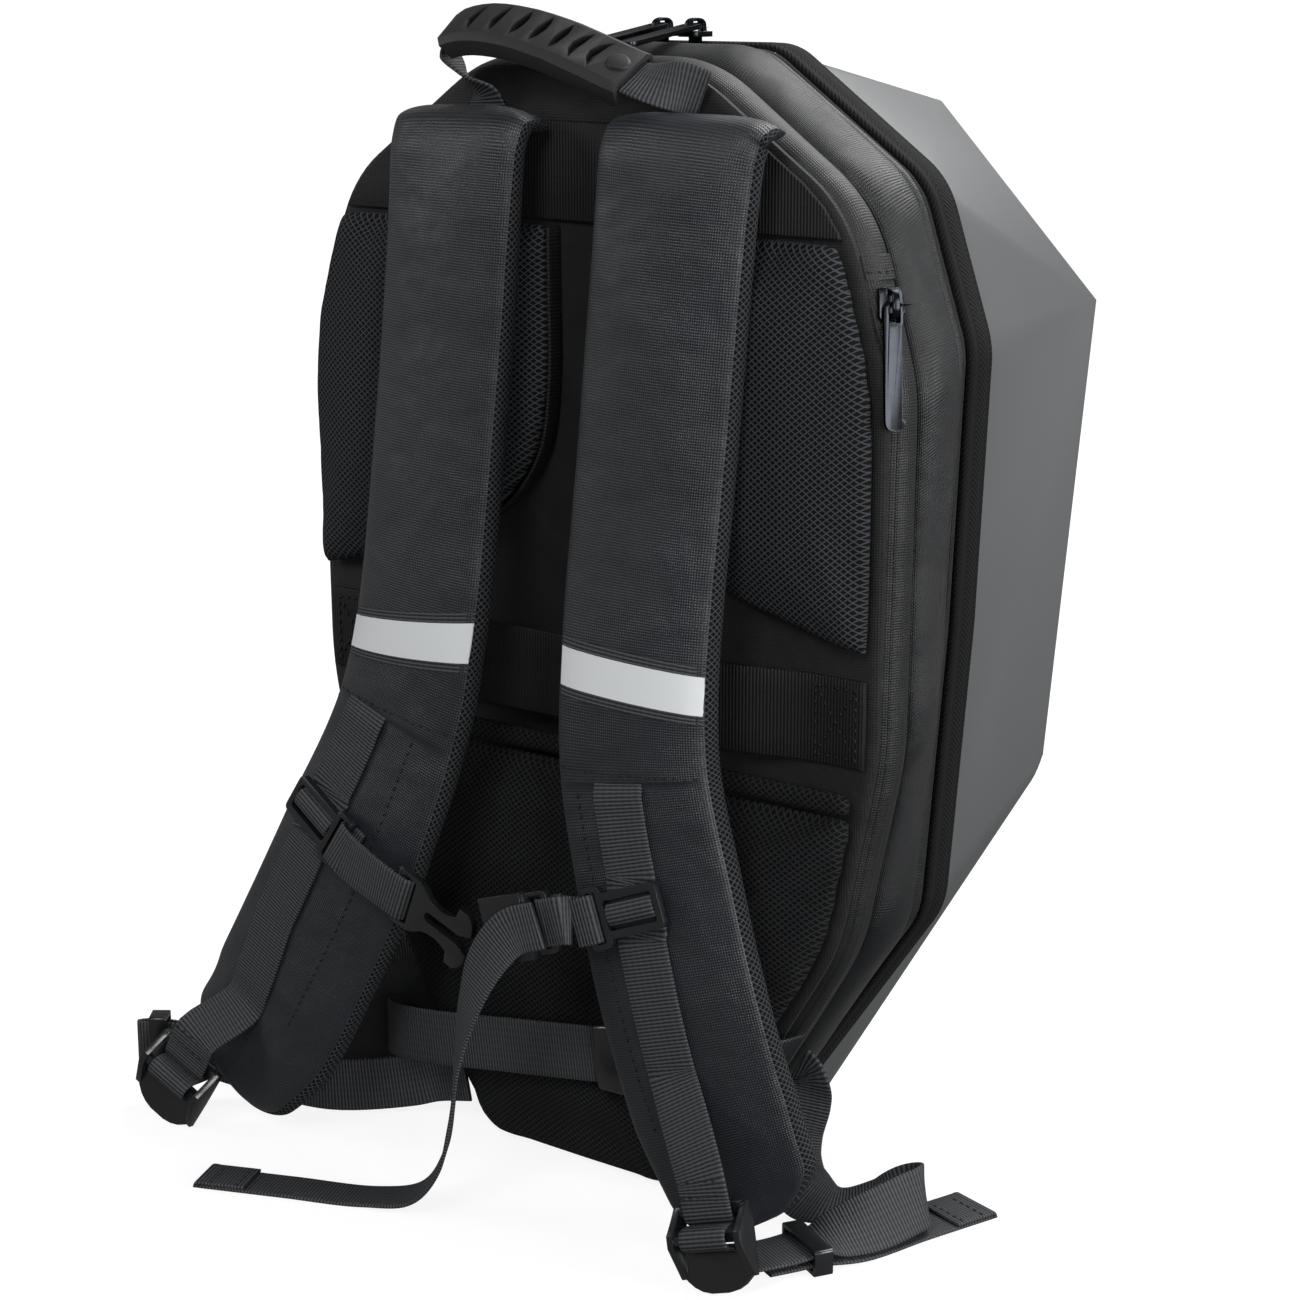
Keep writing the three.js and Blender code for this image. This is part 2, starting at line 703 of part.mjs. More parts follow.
// The place on each strap that its slider sits over, and the slider's own turned place, whose
// right points inwards to the other strap.
const strapPlaces = {};
const sliderPlaces = {};
for (const [name, strap] of Object.entries(straps)) {
  const t = strap.shareAt(SLIDER_Z[name]);
  const onStrap = strap.placeAt(t);
  const origin = inPlace(onStrap, strap.column("rail", t), 0, SLIDER_LIFT);
  const inwards = name === "left" ? 0 : 180;
  strapPlaces[name] = onStrap.clone().setPosition(origin);
  sliderPlaces[name] = turnedPlace(strapPlaces[name], inwards + SLIDER_TILT[name]);
}

for (const [name, place] of Object.entries(sliderPlaces)) {
  addPiece(`sternum_slider_${name}`, railSlider().applyMatrix4(place), "plastic");
}

// Rail webbing: sewn to the strap's face, lifted through the slider's window, then round the top
// bar of the adjuster and a short way back.

const SLIDER_CLEAR = 12; // the rail lies on the strap beyond this from the slider's middle
const RAIL_BULGE = [
  { v: 9, w: -3.8 },
  { v: 5, w: -2.4 },
  { v: 3.4, w: 0.8 },
  { v: 0, w: 1.7 },
  { v: -3.4, w: 0.8 },
  { v: -5, w: -2.4 },
  { v: -9, w: -3.8 },
];
const RAIL_LOOP = [
  { v: TOP_BAR_V + 14, w: 6 },
  { v: TOP_BAR_V + 3, w: 4.2 },
  { v: TOP_BAR_V - 3.2, w: 2.8 },
  { v: TOP_BAR_V - 4.4, w: 0 },
  { v: TOP_BAR_V - 3.2, w: -2.8 },
  { v: TOP_BAR_V + 3, w: -3.8 },
];

for (const [name, strap] of Object.entries(straps)) {
  const aside = (t) => strap.column("rail", t);
  const lift = () => RAIL_LIFT;
  const onFace = (fromZ, toZ, steps) =>
    strap.rowsOn(strap.shareAt(fromZ), strap.shareAt(toZ), steps, aside, lift);
  const sliderZ = SLIDER_Z[name];
  const slider = turnedPlace(strapPlaces[name], SLIDER_TILT[name]);
  const bulge = RAIL_BULGE.map(({ v, w }) => ({
    at: inPlace(slider, 0, v, w),
    across: rightOf(slider),
  }));
  const adjuster = adjusterPlaces[name];
  const loop = RAIL_LOOP.map(({ v, w }) => ({
    at: inPlace(adjuster, 0, v, w),
    across: rightOf(adjuster),
  }));
  const above = onFace(RAIL_TOP_Z, sliderZ + SLIDER_CLEAR, 4);
  const below = onFace(sliderZ - SLIDER_CLEAR, RAIL_SEWN_Z[name], 8);
  const rows = [...above, ...bulge, ...below, ...loop];
  addPiece(`strap_rail_${name}`, ribbon(rows, RAIL_WIDE, WEB_THICK), "webbing");
}

// Sternum strap, open: each half hangs from its slider's loop.

const PLUG = { at: [-47, -106, 131], along: [0.93, 0, -0.36], up: [0.36, 0, 0.93] };
const SOCKET = { at: [36, -104, 136], along: [-0.95, -0.1, -0.3], up: [-0.3, 0, 0.95] };
const plugPlace = placeAt(point(...PLUG.at), point(...PLUG.along), point(...PLUG.up));
const socketPlace = placeAt(point(...SOCKET.at), point(...SOCKET.along), point(...SOCKET.up));

// A short web between a slider's loop and a buckle's bar, turned round both bars.
function joiningWeb(slider, buckle, front) {
  const sliderSide = [
    [27, -front * 3],
    [20, -front * 2.9],
    [17.6, -front * 2.4],
    [16.6, 0],
    [17.6, front * 2.4],
    [20, front * 2.9],
    [27, front * 3],
  ].map(([u, w]) => ({ at: inPlace(slider, u, 0, w), across: upOf(slider), wide: STERNUM_WIDE }));
  const buckleSide = [
    [-7, front * 3.2],
    [1.4, front * 2.9],
    [4, front * 2.5],
    [5.8, 0],
    [4, -front * 2.7],
    [-5, -front * 2.9],
  ].map(([u, w]) => ({ at: inPlace(buckle, u, 0, w), across: upOf(buckle), wide: STERNUM_WIDE }));
  const free = finerRows([sliderSide.at(-1), buckleSide[0]], 8);
  const rows = [...sliderSide.slice(0, -1), ...free, ...buckleSide.slice(1)];
  return ribbon(rows, STERNUM_WIDE, WEB_THICK);
}

addPiece("sternum_web_left", joiningWeb(sliderPlaces.left, plugPlace, 1), "webbing");

function plug() {
  const shape = new THREE.Shape();
  shape.moveTo(0, -12.5);
  shape.lineTo(9, -12.5);
  shape.quadraticCurveTo(14, -11, 17, -8);
  shape.quadraticCurveTo(25, -5, 32, -8.5);
  shape.lineTo(33, -13.5);
  shape.lineTo(38, -13.5);
  shape.quadraticCurveTo(43, -10, 42, -4.5);
  shape.lineTo(36, -2.2);
  shape.lineTo(19, -2.2);
  shape.absarc(19, 0, 2.2, -Math.PI / 2, Math.PI / 2, true);
  shape.lineTo(36, 2.2);
  shape.lineTo(42, 4.5);
  shape.quadraticCurveTo(43, 10, 38, 13.5);
  shape.lineTo(33, 13.5);
  shape.lineTo(32, 8.5);
  shape.quadraticCurveTo(25, 5, 17, 8);
  shape.quadraticCurveTo(14, 11, 9, 12.5);
  shape.lineTo(0, 12.5);
  shape.holes.push(roundedHole(2.8, -10.3, 8.6, 10.3, 1));
  return plate(shape, 3.2);
}

addPiece("sternum_plug", plug().applyMatrix4(plugPlace), "plastic");

function socket() {
  const bars = roundedShape(0, -13, 12, 13, 2);
  bars.holes.push(roundedHole(2.8, -10.8, 8.6, 10.8, 1));
  const sleeve = block(11, 32, -14, 14, -4.5, 4.5);
  const mouth = block(14, 33, -11.5, 11.5, -2.5, 2.5);
  return cut(joined([plate(bars, 3.2), sleeve]), [mouth]);
}

addPiece("sternum_socket", socket().applyMatrix4(socketPlace), "plastic");
addPiece("sternum_web_right", joiningWeb(sliderPlaces.right, socketPlace, -1), "webbing");

// The free end of the sternum strap hangs from the socket and lies on the floor.
const TAIL_ROWS = [
  { at: [34, -111, 135.5], across: [-0.3, 0, 0.95] },
  { at: [21, -113.5, 130], across: [-0.55, 0, 0.83] },
  { at: [11, -117, 117], across: [-0.82, 0.15, 0.55] },
  { at: [4, -119.5, 99], across: [-0.85, 0.45, 0.27] },
  { at: [-2, -121, 74], across: [-0.7, 0.7, 0.14] },
  { at: [-6, -121, 46], across: [-0.58, 0.8, 0.1] },
  { at: [-12, -121, 24], across: [-0.5, 0.85, 0.18] },
  { at: [-25, -122.5, 7], across: [-0.4, 0.92, 0.1] },
  { at: [-46, -129, 1.6], across: [-0.38, 0.92, 0] },
  { at: [-80, -143, 1.4], across: [-0.4, 0.92, 0] },
  { at: [-116, -158, 1.4], across: [-0.4, 0.92, 0] },
];
addPiece("sternum_tail", ribbon(smoothRows(TAIL_ROWS, 34), STERNUM_WIDE, WEB_THICK), "webbing");

// Lower webs: from the bottom corners of the pack to the adjusters.

const LOWER_RIGHT_ROWS = [
  { at: [101.2, -26, 62.6], across: [0.5, 0, 0.86] },
  { at: [105, -26, 60.2], across: [0.5, 0, 0.86] },
  { at: [104.5, -26, 49], across: [0.79, 0.4, 0.4] },
  { at: [101, -26.5, 34], across: [0.79, 0.61, 0] },
  { at: [101, -27, 22], across: [0.76, 0.6, 0.15] },
  { at: [106, -27, 11.5], across: [0.5, 0.65, 0.57] },
  { at: [119, -25, 6.5], across: [0.15, 0.97, 0.18] },
  { at: [136, -15, 9], across: [-0.15, 0.85, 0.45] },
  { at: [147, -7, 13.5], across: [-0.3, 0.5, 0.81] },
  { at: [154, -8, 15.3], across: [-0.37, 0.3, 0.88] },
  { at: [157, -13.5, 16.4], across: [-0.37, 0.27, 0.89] },
  { at: [155.5, -21, 15.8], across: [-0.4, 0.27, 0.87] },
  { at: [149.5, -36, 12.8], across: [-0.55, 0.35, 0.76] },
  { at: [140, -51, 9], across: [-0.8, 0.47, 0.36] },
  { at: [135.8, -58, 7.6], across: [-0.87, 0.49, 0] },
  { at: [133.5, -62.5, 7.6], across: [-0.87, 0.49, 0] },
  { at: [128, -75, 7], across: [-0.88, 0.47, 0] },
  { at: [121, -90, 7.6], across: [-0.92, 0.38, 0] },
];
addPiece("lower_web_right", ribbon(smoothRows(LOWER_RIGHT_ROWS, 54), LOWER_WIDE, WEB_THICK), "webbing");

const LOWER_TAIL_ROWS = [
  { at: [123, -83, 3.6], across: [-0.88, 0.47, 0] },
  { at: [128, -73, 3.4], across: [-0.88, 0.47, 0] },
  { at: [133.5, -62.5, 3.4], across: [-0.87, 0.49, 0] },
  { at: [142.5, -45, 1.4], across: [-0.9, 0.42, 0] },
  { at: [151, -14, 1.1], across: [-0.94, 0.34, 0] },
  { at: [162, 21, 1.1], across: [-0.95, 0.3, 0] },
];
addPiece("lower_tail_right", ribbon(smoothRows(LOWER_TAIL_ROWS, 14), LOWER_WIDE, WEB_THICK), "webbing");

const LOWER_LEFT_ROWS = [
  { at: [-84, -44, 19.5], across: [-0.1, 0, 1] },
  { at: [-93, -51, 17], across: [0, 0, 1] },
  { at: [-125, -71, 13.5], across: [0, 0, 1] },
  { at: [-160, -80, 15], across: [0, 0, 1] },
  { at: [-180, -91.5, 21.5], across: [0, 0, 1] },
  { at: [-189.1, -101.1, 25.5], across: [0, 0, 1] },
  { at: [-197.1, -107.1, 27], across: [0, 0, 1] },
  { at: [-202, -110.8, 27], across: [0, 0, 1] },
  { at: [-204, -114.4, 27], across: [0, 0, 1] },
  { at: [-200, -113.9, 27], across: [0, 0, 1] },
  { at: [-194.9, -110.1, 27], across: [0, 0, 1] },
  { at: [-189.5, -106.6, 26], across: [0, 0, 1] },
  { at: [-182, -106.5, 23], across: [0.1, 0, 0.98] },
];
addPiece("lower_web_left", ribbon(smoothRows(LOWER_LEFT_ROWS, 30), LOWER_WIDE, WEB_THICK), "webbing");

// Keepers: square plastic loops around the webs beside the adjusters.

function keeper() {
  const shape = roundedShape(-15.5, -5.6, 15.5, 5.6, 1.5);
  shape.holes.push(roundedHole(-13.6, -4, 13.6, 4, 0.8));
  return plate(shape, 8);
}

const KEEPERS = {
  left: { at: [-196, -108.6, 27], right: [0, 0, 1], up: [0.6, -0.8, 0] },
  right: { at: [133.5, -62.5, 5.7], right: [0.87, -0.49, 0], up: [0, 0, 1] },
};
for (const [name, row] of Object.entries(KEEPERS)) {
  const place = placeAt(point(...row.at), point(...row.right), point(...row.up));
  addPiece(`strap_keeper_${name}`, keeper().applyMatrix4(place), "plastic");
}

// Belt wings: cloth tabs sewn to the lower sides, the left one spread and the right one folded
// forwards. Each row has its own width.

const WING_LEFT_ROWS = [
  { at: [-91, -36.9, 46], across: [-0.52, 0, 0.85], wide: 44 },
  { at: [-108, -42, 39], across: [-0.2, 0, 0.98], wide: 36 },
  { at: [-150, -56, 27], across: [0, 0, 1], wide: 27 },
];
const WING_RIGHT_ROWS = [
  { at: [101.5, -37.5, 66], across: [0.52, 0, 0.85], wide: 44 },
  { at: [102, -46, 66], across: [0.35, 0, 0.94], wide: 40 },
  { at: [97, -55, 67], across: [0.1, 0, 1], wide: 31 },
];

function wing(table) {
  const rows = table.map((row) => ({ ...row, at: point(...row.at), across: point(...row.across) }));
  return ribbon(finerRows(rows, 5), 0, CLOTH);
}

addPiece("belt_wing_left", wing(WING_LEFT_ROWS), "coated");
addPiece("belt_wing_right", wing(WING_RIGHT_ROWS), "coated");

// Waist belt, closed by its buckle in front of the lumbar pad

const WAIST_LEFT_ROWS = [
  { at: [-108, -45.5, 41], across: [0, 0, 1] },
  { at: [-103, -54, 43], across: [0, 0, 1] },
  { at: [-94, -61.5, 45.5], across: [0, 0, 1] },
  { at: [-84, -65.5, 47.5], across: [-0.05, 0, 1] },
  { at: [-62, -66, 50], across: [-0.1, 0, 1] },
  { at: [-20, -63, 55.5], across: [-0.13, 0, 1] },
  { at: [22, -60.5, 61.2], across: [-0.13, 0, 1] },
];
const WAIST_RIGHT_ROWS = [
  { at: [68, -60, 67.2], across: [-0.13, 0, 1] },
  { at: [80, -60.5, 68.8], across: [-0.13, 0, 1] },
  { at: [92, -60, 70.4], across: [-0.1, 0, 1] },
  { at: [99, -58.5, 71.4], across: [0.1, 0, 1] },
];
addPiece("waist_belt_left", ribbon(smoothRows(WAIST_LEFT_ROWS, 24), LOWER_WIDE, WEB_THICK), "webbing");
addPiece("waist_belt_right", ribbon(smoothRows(WAIST_RIGHT_ROWS, 10), LOWER_WIDE, WEB_THICK), "webbing");

function waistBuckle() {
  const shape = new THREE.Shape();
  shape.moveTo(-21, -14);
  shape.lineTo(-8, -15.5);
  shape.quadraticCurveTo(4, -12, 12, -15.5);
  shape.lineTo(21, -14);
  shape.lineTo(21, 14);
  shape.lineTo(12, 15.5);
  shape.quadraticCurveTo(4, 12, -8, 15.5);
  shape.lineTo(-21, 14);
  return plate(shape, 9);
}

const bucklePlace = placeAt(point(45, -60, 64.2), point(1, 0, 0.134), point(-0.134, 0, 1));
addPiece("waist_buckle", waistBuckle().applyMatrix4(bucklePlace), "plastic");

// Carrying handle: webbing from seam to seam through a moulded grip with open slots.

const HANDLE_ROWS = [
  { at: [-46, -42.4, 452.5], across: [-1, 0, 0] },
  { at: [-47, -45, 459], across: [-1, 0.15, 0.1] },
  { at: [-54, -50.2, 467.5], across: [-0.7, 0.65, 0.25] },
  { at: [-59, -52, 475.5], across: [-0.35, 0.85, 0.4] },
  { at: [-55.5, -53, 482], across: [-0.1, 0.84, 0.53] },
  { at: [-43.5, -53, 485.5], across: [0, 0.84, 0.54] },
  { at: [-25.5, -53, 485], across: [0, 0.84, 0.54] },
  { at: [-1.5, -53, 480], across: [0, 0.84, 0.54] },
  { at: [20.5, -53, 473], across: [0.03, 0.84, 0.54] },
  { at: [38, -53.6, 467.5], across: [0.08, 0.83, 0.54] },
  { at: [49, -52.5, 465.5], across: [0.3, 0.65, 0.68] },
  { at: [58, -48.5, 464], across: [0.5, 0.35, 0.79] },
  { at: [64.5, -43.2, 461.5], across: [0.7, 0.1, 0.7] },
];
const HANDLE_STEPS = 44;
addPiece("handle_web", ribbon(smoothRows(HANDLE_ROWS, HANDLE_STEPS), HANDLE_WIDE, WEB_THICK), "webbing");

const GRIP_FROM = 0.34; // shares of the handle's length
const GRIP_TO = 0.75;
const GRIP_STEPS = 16;
const GRIP_HALF = 12.8;
const GRIP_TOP = 4.6;
const GRIP_SKIRT = -5;
const GRIP_CEILING = 1.5;
const GRIP_WALL = 2.6;

const handlePath = new THREE.CatmullRomCurve3(HANDLE_ROWS.map((row) => point(...row.at)));
const handleLean = new THREE.CatmullRomCurve3(HANDLE_ROWS.map((row) => point(...row.across)));

function gripPlace(share) {
  return placeAt(handlePath.getPoint(share), handlePath.getTangent(share), handleLean.getPoint(share));
}

function handleGrip() {
  const inner = GRIP_HALF - GRIP_WALL;
  const profile = [
    [-inner, GRIP_SKIRT],
    [-inner, GRIP_CEILING],
    [inner, GRIP_CEILING],
    [inner, GRIP_SKIRT],
    [GRIP_HALF, GRIP_SKIRT],
    [GRIP_HALF, GRIP_TOP - 2.5],
    [GRIP_HALF - 3, GRIP_TOP],
    [-GRIP_HALF + 3, GRIP_TOP],
    [-GRIP_HALF, GRIP_TOP - 2.5],
    [-GRIP_HALF, GRIP_SKIRT],
  ];
  const count = profile.length;
  const loops = [];
  for (let i = 0; i <= GRIP_STEPS; i++) {
    const place = gripPlace(THREE.MathUtils.lerp(GRIP_FROM, GRIP_TO, i / GRIP_STEPS));
    loops.push(profile.map(([v, w]) => inPlace(place, 0, v, w)));
  }
  const points = loops.flat();
  const triangles = [];
  for (let i = 0; i < loops.length - 1; i++) {
    for (let k = 0; k < count; k++) {
      const next = (k + 1) % count;
      const [a, b] = [i * count + k, i * count + next];
      const [c, d] = [b + count, a + count];
      triangles.push([a, b, c], [a, c, d]);
    }
  }
  const outline = profile.map(([v, w]) => new THREE.Vector2(v, w));
  const last = (loops.length - 1) * count;
  for (const [a, b, c] of THREE.ShapeUtils.triangulateShape(outline, [])) {
    triangles.push([a, c, b], [last + a, last + b, last + c]);
  }
  return closedSurface(points, triangles);
}

// A slot across the grip: a lens, bowed to one side where it is a crescent.
function slotCutter(bow) {
  const reach = 8.6;
  const swell = 2.4;
  const shape = new THREE.Shape();
  shape.moveTo(0, -reach);
  shape.quadraticCurveTo(bow + 2 * swell, 0, 0, reach);
  shape.quadraticCurveTo(bow - 2 * swell, 0, 0, -reach);
  return plate(shape, 8, GRIP_TOP);
}

const GRIP_SLOTS = [
  { share: 0.435, bow: -6 },
  { share: 0.487, bow: -4 },
  { share: 0.525, bow: 0 },
  { share: 0.56, bow: 0 },
  { share: 0.595, bow: 0 },
  { share: 0.635, bow: -5 },
  { share: 0.675, bow: -7 },
];
const slotCutters = GRIP_SLOTS.map((slot) => slotCutter(slot.bow).applyMatrix4(gripPlace(slot.share)));
addPiece("handle_grip", cut(handleGrip(), slotCutters), "rubber");

// Zip sliders and pulls: the pull's crossbar lies under the slider's bridge and turns there.

const BAR_LIFT = 4.5; // the crossbar above the slider's foot
const PULL_LONG = 48;

function zipSlider(stem) {
  const foot = plate(roundedShape(-5, -6.5, 5, 6.5, 2.5), 2.2, 1.1);
  const bridge = new THREE.Shape();
  bridge.moveTo(-6, 2);
  bridge.lineTo(-5.4, 5.6);
  bridge.quadraticCurveTo(-4, 7.6, 0, 7.6);
  bridge.quadraticCurveTo(4, 7.6, 5.4, 5.6);
  bridge.lineTo(6, 2);
  bridge.lineTo(3.6, 2);
  bridge.lineTo(3.2, 6.2);
  bridge.lineTo(-3.2, 6.2);
  bridge.lineTo(-3.6, 2);
  return joined([foot, plate(bridge, 3).applyMatrix4(onSide), ...stem]);
}

// A pull on its slider's place, dropped by degrees about its crossbar.
function zipPull(drop) {
  const shape = roundedShape(-4.2, -PULL_LONG, 4.2, 1, 4);
  shape.holes.push(roundedHole(-2.5, -7.2, 2.5, -1, 0.6));
  const dropped = plate(shape, 2).rotateX(THREE.MathUtils.degToRad(drop));
  return dropped.translate(0, 0, BAR_LIFT);
}

// Side zip: on the convex roll at the right, with its end under a sewn patch.
// The pull hangs almost straight down and leans on the roll's shoulder.
const SIDE_ZIP_Z = 385;
const SIDE_ZIP_Y = -32;
const SIDE_ZIP_OUT = 1.6;
const sideZip = outlineSide(SIDE_ZIP_Y, SIDE_ZIP_Z, SIDE_ZIP_OUT);
const sideZipUp = point(-0.12, 0.13, 0.98).normalize();
const sideZipLevel = point(0.55, 0.83, 0);
const sideZipRight = sideZipLevel.addScaledVector(sideZipUp, -sideZipLevel.dot(sideZipUp));
const sideZipPlace = placeAt(sideZip, sideZipRight, sideZipUp);
addPiece("side_zip_slider", zipSlider([]).applyMatrix4(sideZipPlace), "gunmetal");
addPiece("side_zip_pull", zipPull(0).applyMatrix4(sideZipPlace), "gunmetal");
const garage = plate(roundedShape(-8, 8, 8, 17, 1.5), 1.2, 1.4);
addPiece("side_zip_garage", garage.applyMatrix4(sideZipPlace), "coated");

// Main zip: both sliders meet at the top, with their pulls laid towards the wearer.
const MAIN_ZIP_X = { left: 1, right: 18 };
const MAIN_ZIP_Y = 12.9;
const MAIN_ZIP_Z = 481.4;
const MAIN_PULL_DROP = 8; // degrees below level
for (const [name, x] of Object.entries(MAIN_ZIP_X)) {
  const place = placeAt(point(x, MAIN_ZIP_Y, MAIN_ZIP_Z), point(1, 0, 0), point(0, 1, 0));
  const stem = block(-3, 3, -0.7, 0.7, -4.2, 1);
  addPiece(`main_zip_slider_${name}`, zipSlider([stem]).applyMatrix4(place), "gunmetal");
  addPiece(`main_zip_pull_${name}`, zipPull(MAIN_PULL_DROP).applyMatrix4(place), "gunmetal");
}

export default pack;
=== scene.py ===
import math

import bmesh
import bpy
from mathutils import Matrix, Vector, noise
from mathutils.bvhtree import BVHTree


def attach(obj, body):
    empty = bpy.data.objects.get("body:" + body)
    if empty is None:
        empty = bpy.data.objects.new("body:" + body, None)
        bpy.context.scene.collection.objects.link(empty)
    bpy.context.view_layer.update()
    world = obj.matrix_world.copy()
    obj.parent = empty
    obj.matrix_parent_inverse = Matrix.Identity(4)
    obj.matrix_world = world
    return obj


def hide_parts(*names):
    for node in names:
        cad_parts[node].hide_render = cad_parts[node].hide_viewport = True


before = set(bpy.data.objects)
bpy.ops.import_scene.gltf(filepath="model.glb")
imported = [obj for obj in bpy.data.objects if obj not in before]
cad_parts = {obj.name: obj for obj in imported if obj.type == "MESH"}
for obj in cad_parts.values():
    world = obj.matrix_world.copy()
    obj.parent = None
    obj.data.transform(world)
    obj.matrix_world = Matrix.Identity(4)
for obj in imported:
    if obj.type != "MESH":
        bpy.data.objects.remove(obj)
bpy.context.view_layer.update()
scene = bpy.context.scene

# Studio: a white floor that glows a little, a pale surround and five soft boxes, seen through a
# long lens from the wearer's side, a little above the pack and to its right.

camera = bpy.data.objects.new("camera", bpy.data.cameras.new("camera"))
scene.collection.objects.link(camera)
scene.camera = camera
azimuth, elevation = math.radians(37.79), math.radians(13.79)
towards_camera = Vector(
    (
        math.sin(azimuth) * math.cos(elevation),
        -math.cos(azimuth) * math.cos(elevation),
        math.sin(elevation),
    )
)
camera.location = (0.7222, -0.9256, 0.5108)
camera.rotation_euler = towards_camera.to_track_quat("Z", "Y").to_euler()
camera.data.sensor_width = 36
camera.data.lens = 77.54
scene.view_settings.view_transform = "Standard"


def linear(colour):
    """An sRGB hex colour as linear red, green, blue and alpha."""
    parts = [int(colour[i : i + 2], 16) / 255 for i in (1, 3, 5)]
    return (*[c / 12.92 if c < 0.04045 else ((c + 0.055) / 1.055) ** 2.4 for c in parts], 1)


def add(tree, kind, inputs=None, **settings):
    """Adds a node with its settings. An input is a value, or the output that feeds it."""
    made = tree.nodes.new(kind)
    for name, value in settings.items():
        setattr(made, name, value)
    for name, value in (inputs or {}).items():
        if isinstance(value, bpy.types.NodeSocket):
            tree.links.new(value, made.inputs[name])
        else:
            made.inputs[name].default_value = value
    return made


def start_finish(name, colour, roughness, **sockets):
    """A new material with its shader: returns the material, its tree and the shader."""
    material = bpy.data.materials.new(name)
    material.use_nodes = True
    tree = material.node_tree
    shader = tree.nodes["Principled BSDF"]
    shader.inputs["Base Color"].default_value = linear(colour)
    shader.inputs["Roughness"].default_value = roughness
    for socket, value in sockets.items():
        shader.inputs[socket.replace("_", " ")].default_value = value
    return material, tree, shader


world = bpy.data.worlds.new("studio")
scene.world = world
world.use_nodes = True
surround = world.node_tree.nodes["Background"]
surround.inputs["Color"].default_value = (1, 1, 1, 1)
surround.inputs["Strength"].default_value = 0.16

bm = bmesh.new()
bmesh.ops.create_grid(bm, x_segments=1, y_segments=1, size=60)
floor_mesh = bpy.data.meshes.new("floor")
bm.to_mesh(floor_mesh)
bm.free()
floor = bpy.data.objects.new("floor", floor_mesh)
scene.collection.objects.link(floor)
floor_paint, tree, shader = start_finish("floor_paint", "#7c7c7c", 0.9)
shader.inputs["Emission Color"].default_value = (1, 1, 1, 1)
spot = add(tree, "ShaderNodeTexCoord").outputs["Object"]
away = add(tree, "ShaderNodeVectorMath", {0: spot}, operation="LENGTH").outputs["Value"]
glow = add(
    tree,
    "ShaderNodeMapRange",
    {"Value": away, "From Min": 0.3, "From Max": 2.5, "To Min": 0.86, "To Max": 1.0},
)
tree.links.new(glow.outputs["Result"], shader.inputs["Emission Strength"])
floor_mesh.materials.append(floor_paint)
# The glow whitens the floor and doesn't light the pack from below.
floor.visible_diffuse = False
floor.visible_glossy = False

SOFT_BOXES = [
    # name, place, aim, width, watts
    ("overhead", (0.3, 1.2, 2.0), (0, 0, 0.3), 1.6, 54),
    ("right", (2.0, 0.1, 0.6), (0.05, 0, 0.25), 1.0, 26),
    ("front", (0.5, -1.9, 1.9), (0, 0, 0.25), 0.9, 22),
    ("left", (-1.8, -1.2, 1.0), (0, 0, 0.25), 0.8, 9),
    ("edge", (1.7, -1.3, 0.6), (0.05, -0.1, 0.2), 0.5, 13),
]
for name, place, aim, width, watts in SOFT_BOXES:
    light = bpy.data.objects.new(name, bpy.data.lights.new(name, "AREA"))
    light.data.size = width
    light.data.energy = watts
    light.location = place
    light.rotation_euler = (Vector(place) - Vector(aim)).to_track_quat("Z", "Y").to_euler()
    scene.collection.objects.link(light)

# Gusset: the soft side wall of the pack, cut from coated cloth and sewn between the back and
# the shell's binding. It bulges a little and dips where the main zip lies.

MM = 0.001

# Corners of the pack's outline from the top right downwards, at the shell's rim and at the back:
# across, height and radius in mm.
OUTLINE = [
    ((58, 479, 28), (56, 474, 60)),
    ((131, 428, 36), (131, 422, 60)),
    ((153, 364, 40), (152, 352, 90)),
    ((148, 250, 300), (150, 205, 150)),
    ((138, 128, 36), (133, 124, 90)),
    ((46, -4, 26), (55, -4, 26)),
]
OUTLINE_BACK_Y = -19
OUTLINE_FRONT_Y = 11
ARC_STEPS = 8
STATION_STEP = 9  # mm between stations on the straight stretches


def outline_arcs(y):
    """Points of the rounded corners at depth y in mm, each with its outward direction."""
    ahead = min(max((y - OUTLINE_BACK_Y) / (OUTLINE_FRONT_Y - OUTLINE_BACK_Y), 0), 1)
    right = [Vector(back).lerp(Vector(front), ahead) for front, back in OUTLINE]
    corners = right + [Vector((-x, z, radius)) for x, z, radius in reversed(right)]
    arcs = []
    for i, (x, z, radius) in enumerate(corners):
        before = corners[i - 1]
        after = corners[(i + 1) % len(corners)]
        face_in = Vector((before[1] - z, x - before[0])).normalized()
        face_out = Vector((z - after[1], after[0] - x)).normalized()
        reach = radius / (1 + face_in.dot(face_out))
        centre = Vector((x, z)) - (face_in + face_out) * reach
        for step in range(ARC_STEPS + 1):
            spoke = face_in.slerp(face_out, step / ARC_STEPS)
            arcs.append((centre + spoke * radius, spoke))
    return arcs


def pairs(loop):
    return zip(loop, loop[1:] + loop[:1])


rim_arcs = outline_arcs(OUTLINE_FRONT_Y)
SPAN_COUNTS = [max(1, round((b[0] - a[0]).length / STATION_STEP)) for a, b in pairs(rim_arcs)]


def around(y, out, floor=0):
    """The outline at depth y in mm, moved outwards, and flattened where it meets the floor."""
    loop = []
    for (a, b), count in zip(pairs(outline_arcs(y)), SPAN_COUNTS):
        for k in range(count):
            at = a[0].lerp(b[0], k / count) + a[1].lerp(b[1], k / count) * out
            loop.append(Vector((at.x, y, max(at.y, floor))) * MM)
    return loop


